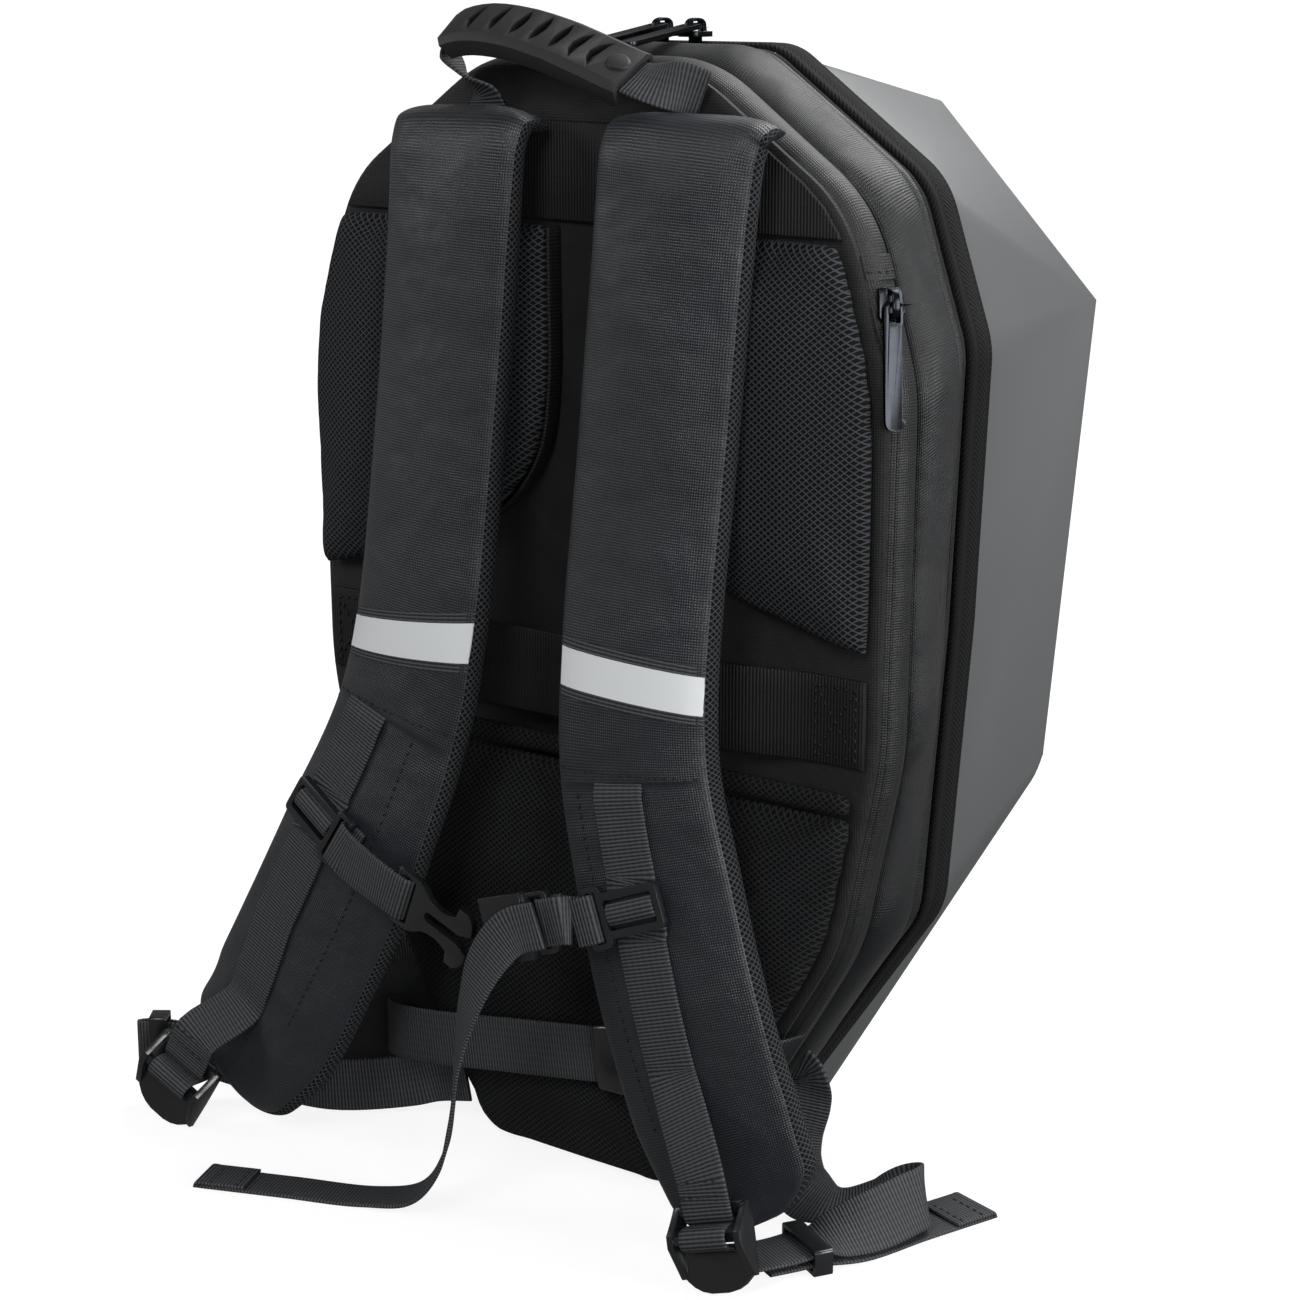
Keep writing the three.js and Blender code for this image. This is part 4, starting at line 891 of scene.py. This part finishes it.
for side in ("left", "right"):
    seam_share = strap_share(side, SEAM_Z[side])
    rings = []
    seam_edges = [seam_share - 0.0006, seam_share + 0.0006]
    for share in sorted([k / STRAP_RINGS for k in range(STRAP_RINGS + 1)] + seam_edges):
        at, across, up, out, (wide, thick, rail) = strap_at(side, share)
        bend = math.sqrt(1 - max(0, (share - END_SHARE) / (1 - END_SHARE)) ** 2)
        lift = SEAM_STEP if share < seam_share else 0
        ring = []
        section = strap_section(wide * (0.4 + 0.6 * bend), thick * (0.55 + 0.45 * bend), lift)
        for i, (u, w) in enumerate(section):
            dent = noise.noise(Vector((u / 28, share * 13, len(side)))) if 1 < i < FACE_COUNT - 2 else 0
            ring.append((at + across * u + out * (w + 0.9 * dent)) * MM)
        rings.append(ring)
    bm = sweep(rings)
    uv_map = bm.loops.layers.uv.active
    widest = max(rings, key=lambda ring: sum((a - b).length for a, b in zip(ring, ring[1:])))
    face_girth = sum((a - b).length for a, b in zip(widest[: FACE_COUNT - 1], widest[1:FACE_COUNT]))
    sewn_columns = (0, 1, FACE_COUNT - 2, FACE_COUNT - 1)
    sewn_keys = {tuple(round(c, 5) for c in ring[i]) for ring in rings for i in sewn_columns}
    for face in bm.faces:
        middle = sum(loop[uv_map].uv.x for loop in face.loops) / len(face.loops)
        face.material_index = 0 if middle < face_girth else 1
    nodes = ["strap_pad_" + side, "strap_face_" + side]
    strap = piece("shoulder_strap_" + side, bm, coated, nodes)
    strap.data.materials.append(air_mesh)
    inflate(strap, lambda co: tuple(round(c, 5) for c in co) in sewn_keys, 1.2)
    smooth_out(strap)

# Reflective strips: a silver reflective film on a black tape, sewn across each strap. The film's
# tiny beads make it pale and even with a faint grain.

reflective, tree, shader = start_finish("reflective_film", "#dcdfe0", 0.4)
spot = add(tree, "ShaderNodeTexCoord").outputs["Object"]
beads = add(tree, "ShaderNodeTexNoise", {"Vector": spot, "Scale": 1 / (0.9 * MM)})
emboss(tree, shader, beads.outputs["Fac"], 0.15, 0.2)

strap_skins = {}
for side in ("left", "right"):
    strap = bpy.data.objects["shoulder_strap_" + side]
    strap_skins[side] = BVHTree.FromObject(strap, bpy.context.evaluated_depsgraph_get())


def on_strap(side, u, share, lift):
    """A point over the strap's finished face in metres, with the strap's outward direction."""
    at, across, up, out, _ = strap_at(side, share)
    start = (at + across * u + out * 30) * MM
    hit = strap_skins[side].ray_cast(start, -out)[0]
    return hit + out * (lift * MM), out


def face_band(name, side, high, low, slope, half, thick, material, slot, nodes=()):
    """A thin band across the strap's face between two heights, rising by slope to the right."""
    columns = [half * (k / 8 - 1) for k in range(17)]
    rings = []
    for k in range(5):
        z = high + (low - high) * k / 4
        shares = [strap_share(side, z + slope * u) for u in columns]
        top = [on_strap(side, u, share, thick)[0] for u, share in zip(columns, shares)]
        under = [on_strap(side, u, share, -0.5)[0] for u, share in zip(columns, shares)]
        rings.append(top + under[::-1])
    piece(name, sweep(rings), material, nodes, crease=40)


REFLECTOR_Z = 235
STRIP_HALF = 33
STRIP_SLOPE = {"left": 0.2, "right": -0.07}
for side, slope in STRIP_SLOPE.items():
    tape = REFLECTOR_Z + 12, REFLECTOR_Z - 12
    face_band("strip_tape_" + side, side, *tape, slope, STRIP_HALF, 0.25, webbing, "webbing")
    film = REFLECTOR_Z + 7.75, REFLECTOR_Z - 7.75
    nodes = ["reflector_" + side]
    name = "reflective_strip_" + side
    face_band(name, side, *film, slope, STRIP_HALF, 0.55, reflective, "reflective", nodes)

# Seams of the straps: black polyester thread in short stitches along the overlap and beside the
# rails. Each stitch is a small dark bead on the greyer cloth.

thread = start_finish("polyester_thread", "#08090a", 0.6)[0]
STITCH_LONG = 2.7
STITCH_PITCH = 4.2


def stitches(name, spots):
    """A row of short stitches along spots, each a point in metres and the cloth's direction."""
    bm = bmesh.new()
    gone = 0
    due = 0
    for (a, out), (b, _) in zip(spots, spots[1:]):
        step = (b - a).length / MM
        while due < gone + step:
            at = a.lerp(b, (due - gone) / step)
            along = (b - a).normalized()
            side = out.cross(along).normalized()
            turn = Matrix((along, side, along.cross(side))).transposed().to_4x4()
            size = Matrix.Diagonal((STITCH_LONG / 2 * MM, 0.45 * MM, 0.4 * MM, 1))
            bmesh.ops.create_icosphere(
                bm, subdivisions=1, radius=1, matrix=Matrix.Translation(at) @ turn @ size
            )
            due += STITCH_PITCH
        gone += step
    piece(name, bm, thread)


SEAM_SLOPE = {"left": 0.1, "right": -0.07}
for side, slope in SEAM_SLOPE.items():
    high = SEAM_Z[side] + 3.5
    spots = [on_strap(side, u, strap_share(side, high + slope * u), 0.15) for u in range(-32, 33, 2)]
    stitches("seam_stitches_" + side, spots)
    beside = {"left": 15, "right": -26}[side]
    low = strap_share(side, 60)
    start = strap_share(side, SEAM_Z[side] - 4)
    shares = [start + (low - start) * k / 40 for k in range(41)]
    stitches("panel_stitches_" + side, [on_strap(side, beside, share, 0.15) for share in shares])

# Luggage band's stitching: a box with a cross at each end, in the same thread, sewn through to
# the panel so that the band can carry the pack.

BOX_X, BOX_Z, BOX_Y = (120, 139), (207, 235), -42.5
for name, sign in (("left", -1), ("right", 1)):
    low, high = [Vector((sign * BOX_X[0], BOX_Y, z)) for z in BOX_Z]
    low_end, high_end = [Vector((sign * BOX_X[1], BOX_Y, z)) for z in BOX_Z]
    lines = [[low, high, high_end, low_end, low], [low, high_end], [high, low_end]]
    for k, line in enumerate(lines):
        spots = [(p * MM, Vector((0, -1, 0))) for p in line]
        stitches(f"band_stitches_{name}_{k}", spots)

# Strap adjusters, rail sliders, keepers and buckles: injection moulded in black acetal, with
# softly rounded edges that catch the light.

acetal, tree, shader = start_finish("black_acetal", "#17181a", 0.25, Specular_IOR_Level=0.8)
spot = add(tree, "ShaderNodeTexCoord").outputs["Object"]
grain = add(tree, "ShaderNodeTexNoise", {"Vector": spot, "Scale": 1 / (0.8 * MM), "Detail": 2})
emboss(tree, shader, grain.outputs["Fac"], 0.12, 0.1)


def moulded(node, radius, material, body="pack"):
    """A hard piece of the part with its edges rounded."""
    bm = copied(node)
    soften(bm, radius, 30)
    piece(node + "_moulding", bm, material, [node], body, crease=50)


for side in ("left", "right"):
    moulded("strap_adjuster_" + side, 0.7, acetal)
    moulded("sternum_slider_" + side, 0.7, acetal)
    moulded("strap_keeper_" + side, 0.5, acetal)
moulded("sternum_plug", 0.8, acetal)
moulded("sternum_socket", 0.9, acetal)
moulded("waist_buckle", 1.6, acetal)

# Rail webs: nylon webbing sewn down the straps, lifted through the sliders' windows, then round
# the adjusters' top bars and a short way back, where the end is stitched.


def axes(at, right, up):
    """A place: its point, right, up and outward directions."""
    u = Vector(right).normalized()
    v = (Vector(up) - u * u.dot(Vector(up))).normalized()
    return Vector(at), u, v, u.cross(v)


def turned(place, degrees):
    at, u, v, w = place
    c, s = math.cos(math.radians(degrees)), math.sin(math.radians(degrees))
    return at, u * c + v * s, v * c - u * s, w


def from_place(place, u, v, w):
    at, right, up, out = place
    return at + right * u + up * v + out * w


ADJUSTERS = {
    "left": axes((-172, -122, 19.4), (0.87, 0.1, -0.47), (0.45, 0.25, 0.86)),
    "right": axes((120, -106, 18.9), (0.93, 0.1, 0.3), (-0.28, 0.22, 0.93)),
}
SLIDER_Z = {"left": 147, "right": 146}
SLIDER_TILT = {"left": -8, "right": 5}
SLIDER_LIFT = 5.2
SLIDER_CLEAR = 12
RAIL_LIFT = 1.6
RAIL_WIDE = 23
RAIL_SEWN_Z = {"left": 52, "right": 80}
RAIL_BULGE = [(9, -3.8), (5, -2.4), (3.4, 0.8), (0, 1.7), (-3.4, 0.8), (-5, -2.4), (-9, -3.8)]
RAIL_LOOP = [(28, 6), (17, 4.2), (10.8, 2.8), (9.6, 0), (10.8, -2.8), (17, -3.8)]
sliders = {}
for side in ("left", "right"):
    share = strap_share(side, SLIDER_Z[side])
    at, across, up, out, (wide, thick, rail) = strap_at(side, share)
    sliders[side] = (at + across * rail + out * SLIDER_LIFT, across, up, out)


def sewn_rail(side, high, low, steps):
    rows = []
    for k in range(steps + 1):
        share = strap_share(side, high + (low - high) * k / steps)
        at, across, up, out, (wide, thick, rail) = strap_at(side, share)
        rows.append((at + across * rail + out * RAIL_LIFT, across))
    return rows


for side in ("left", "right"):
    slider = turned(sliders[side], SLIDER_TILT[side])
    top = SEAM_Z[side]
    share = strap_share(side, top + 3)
    at, across, up, out, (wide, thick, rail) = strap_at(side, share)
    hidden = [(at + across * rail - out * 1.5, across)]
    table = hidden + sewn_rail(side, top - 4, SLIDER_Z[side] + SLIDER_CLEAR, 4)
    table += [(from_place(slider, 0, v, w), slider[1]) for v, w in RAIL_BULGE]
    table += sewn_rail(side, SLIDER_Z[side] - SLIDER_CLEAR, RAIL_SEWN_Z[side], 8)
    table += [(from_place(ADJUSTERS[side], 0, v, w), ADJUSTERS[side][1]) for v, w in RAIL_LOOP]
    web("rail_web_" + side, along_curve(table, 120), RAIL_WIDE, ["strap_rail_" + side])
    for k, (v, w) in enumerate(((20, 5.9), (26, 6.8))):
        ends = [from_place(ADJUSTERS[side], u, v, w) * MM for u in (-10, 10)]
        stitches(f"rail_end_stitches_{side}_{k}", [(p, ADJUSTERS[side][3]) for p in ends])

# Sternum strap, open: a short web joins each slider's loop to its half of the buckle, and the
# free end hangs from the socket to the floor, where its end is folded over and stitched.

PLUG = axes((-47, -106, 131), (0.93, 0, -0.36), (0.36, 0, 0.93))
SOCKET = axes((36, -104, 136), (-0.95, -0.1, -0.3), (-0.3, 0, 0.95))
STERNUM_WIDE = 20
SLIDER_TURN = [(27, -3), (20, -2.9), (17.6, -2.4), (16.6, 0), (17.6, 2.4), (20, 2.9), (27, 3)]
BUCKLE_TURN = [(-7, 3.2), (1.4, 2.9), (4, 2.5), (5.8, 0), (4, -2.7), (-5, -2.9)]
for side, buckle, front, inwards in (("left", PLUG, 1, 0), ("right", SOCKET, -1, 180)):
    slider = turned(sliders[side], inwards + SLIDER_TILT[side])
    table = [(from_place(slider, u, 0, front * w), slider[2]) for u, w in SLIDER_TURN]
    table += [(from_place(buckle, u, 0, front * w), buckle[2]) for u, w in BUCKLE_TURN]
    web("sternum_strap_" + side, along_curve(table, 60), STERNUM_WIDE, ["sternum_web_" + side])

TAIL_ROWS = [
    ((34, -111, 135.5), (-0.3, 0, 0.95)),
    ((21, -113.5, 130), (-0.55, 0, 0.83)),
    ((11, -117, 117), (-0.82, 0.15, 0.55)),
    ((4, -119.5, 99), (-0.85, 0.45, 0.27)),
    ((-2, -121, 74), (-0.7, 0.7, 0.14)),
    ((-6, -121, 46), (-0.58, 0.8, 0.1)),
    ((-12, -121, 24), (-0.5, 0.85, 0.18)),
    ((-25, -122.5, 7), (-0.4, 0.92, 0.1)),
    ((-46, -129, 1.6), (-0.38, 0.92, 0)),
    ((-80, -143, 1.4), (-0.4, 0.92, 0)),
    ((-116, -158, 1.4), (-0.4, 0.92, 0)),
]
web("sternum_free_end", along_curve(TAIL_ROWS, 110), STERNUM_WIDE, ["sternum_tail"])


def folded_end(name, end, back, across, wide):
    """The turned-over end of a web that lies on the floor, with two rows of stitches."""
    rows = [(end.lerp(back, k / 6) + Vector((0, 0, 1.5)), across) for k in range(7)]
    rows = [(end + Vector((0, 0, -0.4)) - (back - end) * 0.05, across)] + rows
    web(name, along_curve(rows, 24), wide, ())
    over = Vector((0, 0, 1))
    for k, share in enumerate((0.3, 0.85)):
        middle = end.lerp(back, share) + Vector((0, 0, 2.4))
        line = [(middle + across * u) * MM for u in (-wide * 0.42, 0, wide * 0.42)]
        stitches(f"{name}_stitches_{k}", [(p, over) for p in line])


folded_end(
    "sternum_folded_end",
    Vector((-116, -158, 1.4)),
    Vector((-96, -149.5, 1.4)),
    Vector((-0.39, 0.92, 0)),
    STERNUM_WIDE,
)

# Lower webs: nylon webbing from the bottom corners of the pack to the adjusters, with a keeper on
# each. The right one's free end lies on the floor, folded over and stitched.

LOWER_WIDE = 25
LOWER_RIGHT_ROWS = [
    ((101.2, -26, 62.6), (0.5, 0, 0.86)),
    ((105, -26, 60.2), (0.5, 0, 0.86)),
    ((104.5, -26, 49), (0.79, 0.4, 0.4)),
    ((101, -26.5, 34), (0.79, 0.61, 0)),
    ((101, -27, 22), (0.76, 0.6, 0.15)),
    ((106, -27, 11.5), (0.5, 0.65, 0.57)),
    ((119, -25, 6.5), (0.15, 0.97, 0.18)),
    ((136, -15, 9), (-0.15, 0.85, 0.45)),
    ((147, -7, 13.5), (-0.3, 0.5, 0.81)),
    ((154, -8, 15.3), (-0.37, 0.3, 0.88)),
    ((157, -13.5, 16.4), (-0.37, 0.27, 0.89)),
    ((155.5, -21, 15.8), (-0.4, 0.27, 0.87)),
    ((149.5, -36, 12.8), (-0.55, 0.35, 0.76)),
    ((140, -51, 9), (-0.8, 0.47, 0.36)),
    ((135.8, -58, 7.6), (-0.87, 0.49, 0)),
    ((133.5, -62.5, 7.6), (-0.87, 0.49, 0)),
    ((128, -75, 7), (-0.88, 0.47, 0)),
    ((121, -90, 7.6), (-0.92, 0.38, 0)),
]
web("lower_strap_right", along_curve(LOWER_RIGHT_ROWS, 150), LOWER_WIDE, ["lower_web_right"])
LOWER_TAIL_ROWS = [
    ((123, -83, 3.6), (-0.88, 0.47, 0)),
    ((128, -73, 3.4), (-0.88, 0.47, 0)),
    ((133.5, -62.5, 3.4), (-0.87, 0.49, 0)),
    ((142.5, -45, 1.4), (-0.9, 0.42, 0)),
    ((151, -14, 1.1), (-0.94, 0.34, 0)),
    ((162, 21, 1.1), (-0.95, 0.3, 0)),
]
web("lower_free_end", along_curve(LOWER_TAIL_ROWS, 50), LOWER_WIDE, ["lower_tail_right"])
folded_end(
    "lower_folded_end",
    Vector((162, 21, 1.1)),
    Vector((156, 2, 1.1)),
    Vector((-0.95, 0.3, 0)),
    LOWER_WIDE,
)
LOWER_LEFT_ROWS = [
    ((-68, -41.6, 23), (-0.3, 0, 0.95)),
    ((-84, -44, 19.5), (-0.1, 0, 1)),
    ((-93, -51, 17), (0, 0, 1)),
    ((-125, -71, 13.5), (0, 0, 1)),
    ((-160, -80, 15), (0, 0, 1)),
    ((-180, -91.5, 21.5), (0, 0, 1)),
    ((-189.1, -101.1, 25.5), (0, 0, 1)),
    ((-197.1, -107.1, 27), (0, 0, 1)),
    ((-202, -110.8, 27), (0, 0, 1)),
    ((-204, -114.4, 27), (0, 0, 1)),
    ((-200, -113.9, 27), (0, 0, 1)),
    ((-194.9, -110.1, 27), (0, 0, 1)),
    ((-189.5, -106.6, 26), (0, 0, 1)),
    ((-182, -106.5, 23), (0.1, 0, 0.98)),
]
web("lower_strap_left", along_curve(LOWER_LEFT_ROWS, 90), LOWER_WIDE, ["lower_web_left"])

# Adjuster loops: the lower webs come up behind the adjusters, over their front bars and back, so
# that they hold by friction.

ADJUSTER_LOOP = [
    # up and outwards from the adjuster's middle, in mm
    (9, -6),
    (8.5, 0),
    (8, 6),
    (6.5, 9.2),
    (3.75, 10),
    (1, 9.2),
    (-0.6, 6),
    (-0.8, 1),
    (-0.5, -6),
]
for side, place in ADJUSTERS.items():
    table = [(from_place(place, 0, v, w), place[1]) for v, w in ADJUSTER_LOOP]
    web("adjuster_loop_" + side, along_curve(table, 40), 22, ())

# Belt wings: tabs of the coated cloth sewn to the lower sides of the pack, the left one spread
# outwards and the right one folded forwards. The belt's webs are sewn under them.

WING_THICK = 2
WINGS = {
    # place, direction across and width in mm
    "left": [
        ((-88, -37.8, 53), (-0.52, 0, 0.85), 80),
        ((-110, -42, 50), (-0.2, 0, 0.98), 64),
        ((-150, -56, 28), (0, 0, 1), 32),
    ],
    "right": [
        ((101.5, -37.5, 66), (0.52, 0, 0.85), 44),
        ((102, -46, 66), (0.35, 0, 0.94), 40),
        ((97, -55, 67), (0.1, 0, 1), 31),
    ],
}
for side, table in WINGS.items():
    rows = along_curve(table, 24)
    widths = [Vector((row[2], 0, 0)) for row in table]
    sections = [web_section(on_curve(widths, k / 24).x, WING_THICK) for k in range(25)]
    rings = [strap_rows(rows, section)[k] for k, section in enumerate(sections)]
    piece("belt_wing_cloth_" + side, sweep(rings), side_cloth, ["belt_wing_" + side])

# Waist belt: two nylon webs from the wings, closed by the moulded buckle in front of the lumbar
# pad.

WAIST_LEFT_ROWS = [
    ((-108, -45.5, 41), (0, 0, 1)),
    ((-103, -54, 43), (0, 0, 1)),
    ((-94, -61.5, 45.5), (0, 0, 1)),
    ((-84, -65.5, 47.5), (-0.05, 0, 1)),
    ((-62, -66, 50), (-0.1, 0, 1)),
    ((-20, -63, 55.5), (-0.13, 0, 1)),
    ((22, -60.5, 61.2), (-0.13, 0, 1)),
]
WAIST_RIGHT_ROWS = [
    ((68, -60, 67.2), (-0.13, 0, 1)),
    ((80, -60.5, 68.8), (-0.13, 0, 1)),
    ((92, -60, 70.4), (-0.1, 0, 1)),
    ((99, -58.5, 71.4), (0.1, 0, 1)),
]
web("waist_strap_left", along_curve(WAIST_LEFT_ROWS, 60), LOWER_WIDE, ["waist_belt_left"])
web("waist_strap_right", along_curve(WAIST_RIGHT_ROWS, 24), LOWER_WIDE, ["waist_belt_right"])

# Carrying handle: a nylon web from seam to seam through a moulded rubber grip with open slots and
# an oval boss. The rubber is matt with a fine grain.

HANDLE_ROWS = [
    ((-46, -42.4, 452.5), (-1, 0, 0)),
    ((-47, -45, 459), (-1, 0.15, 0.1)),
    ((-54, -50.2, 467.5), (-0.7, 0.65, 0.25)),
    ((-59, -52, 475.5), (-0.35, 0.85, 0.4)),
    ((-55.5, -53, 482), (-0.1, 0.84, 0.53)),
    ((-43.5, -53, 485.5), (0, 0.84, 0.54)),
    ((-25.5, -53, 485), (0, 0.84, 0.54)),
    ((-1.5, -53, 480), (0, 0.84, 0.54)),
    ((20.5, -53, 473), (0.03, 0.84, 0.54)),
    ((38, -53.6, 467.5), (0.08, 0.83, 0.54)),
    ((49, -52.5, 465.5), (0.3, 0.65, 0.68)),
    ((58, -48.5, 464), (0.5, 0.35, 0.79)),
    ((64.5, -43.2, 461.5), (0.7, 0.1, 0.7)),
]
web("handle_strap", along_curve(HANDLE_ROWS, 88), 19.5, ["handle_web"])

rubber, tree, shader = start_finish("soft_grip_rubber", "#141517", 0.55)
spot = add(tree, "ShaderNodeTexCoord").outputs["Object"]
grain = add(tree, "ShaderNodeTexNoise", {"Vector": spot, "Scale": 1 / (0.9 * MM), "Detail": 3})
emboss(tree, shader, grain.outputs["Fac"], 0.2, 0.2)
moulded("handle_grip", 0.9, rubber)

BOSS_ROW = 63  # the row of the handle, out of 88, that the grip's oval boss stands on
rows = along_curve(HANDLE_ROWS, 88)
at, across = rows[BOSS_ROW]
along = (rows[BOSS_ROW + 1][0] - rows[BOSS_ROW - 1][0]).normalized()
level = (across - along * across.dot(along)).normalized()
turn = Matrix((along, level, along.cross(level))).transposed().to_4x4()
place = Matrix.Translation((at + along.cross(level) * 4.9) * MM)
size = Matrix.Diagonal((1.3 * MM, MM, MM, 1))
bm = bmesh.new()
bmesh.ops.create_cone(
    bm, cap_ends=True, segments=32, radius1=4.6, radius2=3.8, depth=1.6, matrix=place @ turn @ size
)
soften(bm, 0.4, 30)
piece("grip_boss", bm, rubber, crease=50)

# Zip sliders and pulls: die-cast metal with a dark plating, whose uneven polish breaks up its
# highlights. Each pull hangs on its slider's bridge and has a raised rim.

gunmetal, tree, shader = start_finish("dark_plated_zinc", "#2b2d31", 0.25, Metallic=1)
spot = add(tree, "ShaderNodeTexCoord").outputs["Object"]
wear = add(tree, "ShaderNodeTexNoise", {"Vector": spot, "Scale": 240, "Detail": 3})
polish = add(
    tree,
    "ShaderNodeMapRange",
    {"Value": wear.outputs["Fac"], "To Min": 0.18, "To Max": 0.32},
)
tree.links.new(polish.outputs["Result"], shader.inputs["Roughness"])
PULLS = {
    "side_zip_pull": "side_pull",
    "main_zip_pull_left": "main_pull_left",
    "main_zip_pull_right": "main_pull_right",
}
for node, body in PULLS.items():
    bm = copied(node)
    broad = sorted(bm.faces, key=lambda f: f.calc_area())[-4:]
    largest = broad[-1].calc_area()
    broad = [f for f in broad if f.calc_area() > largest * 0.25]
    bmesh.ops.inset_region(bm, faces=broad, thickness=1.0 * MM, depth=-0.35 * MM, use_even_offset=True)
    soften(bm, 0.3, 30)
    piece(node + "_casting", bm, gunmetal, [node], body, crease=50)
for node in ("side_zip_slider", "main_zip_slider_left", "main_zip_slider_right"):
    moulded(node, 0.5, gunmetal)

# Garage: a hem of the roll's cloth across it, over the side zip's upper end, sewn down with a row
# of stitches.

GARAGE_Z = (403, 400, 397, 394)
rows = []
for z in GARAGE_Z:
    hits = [
        roll_skin.ray_cast(Vector((0.25, y * MM, z * MM)), Vector((-1, 0, 0)))
        for y in (-36.2, -35, -33.2, -31, -28.5, -26, -23.6, -21.6, -20.4)
    ]
    over = [at + normal * (1.1 * MM) for at, normal, _, _ in hits]
    under = [at - normal * (0.6 * MM) for at, normal, _, _ in hits]
    rows.append(over + under[::-1])
    if z == GARAGE_Z[2]:
        hem = [(at + normal * (1.2 * MM), normal) for at, normal, _, _ in hits[1:-1]]
piece("side_zip_garage_hem", sweep(rows), roll_cloth, ["side_zip_garage"], crease=40)
stitches("garage_stitches", hem)

scene.frame_set(1)
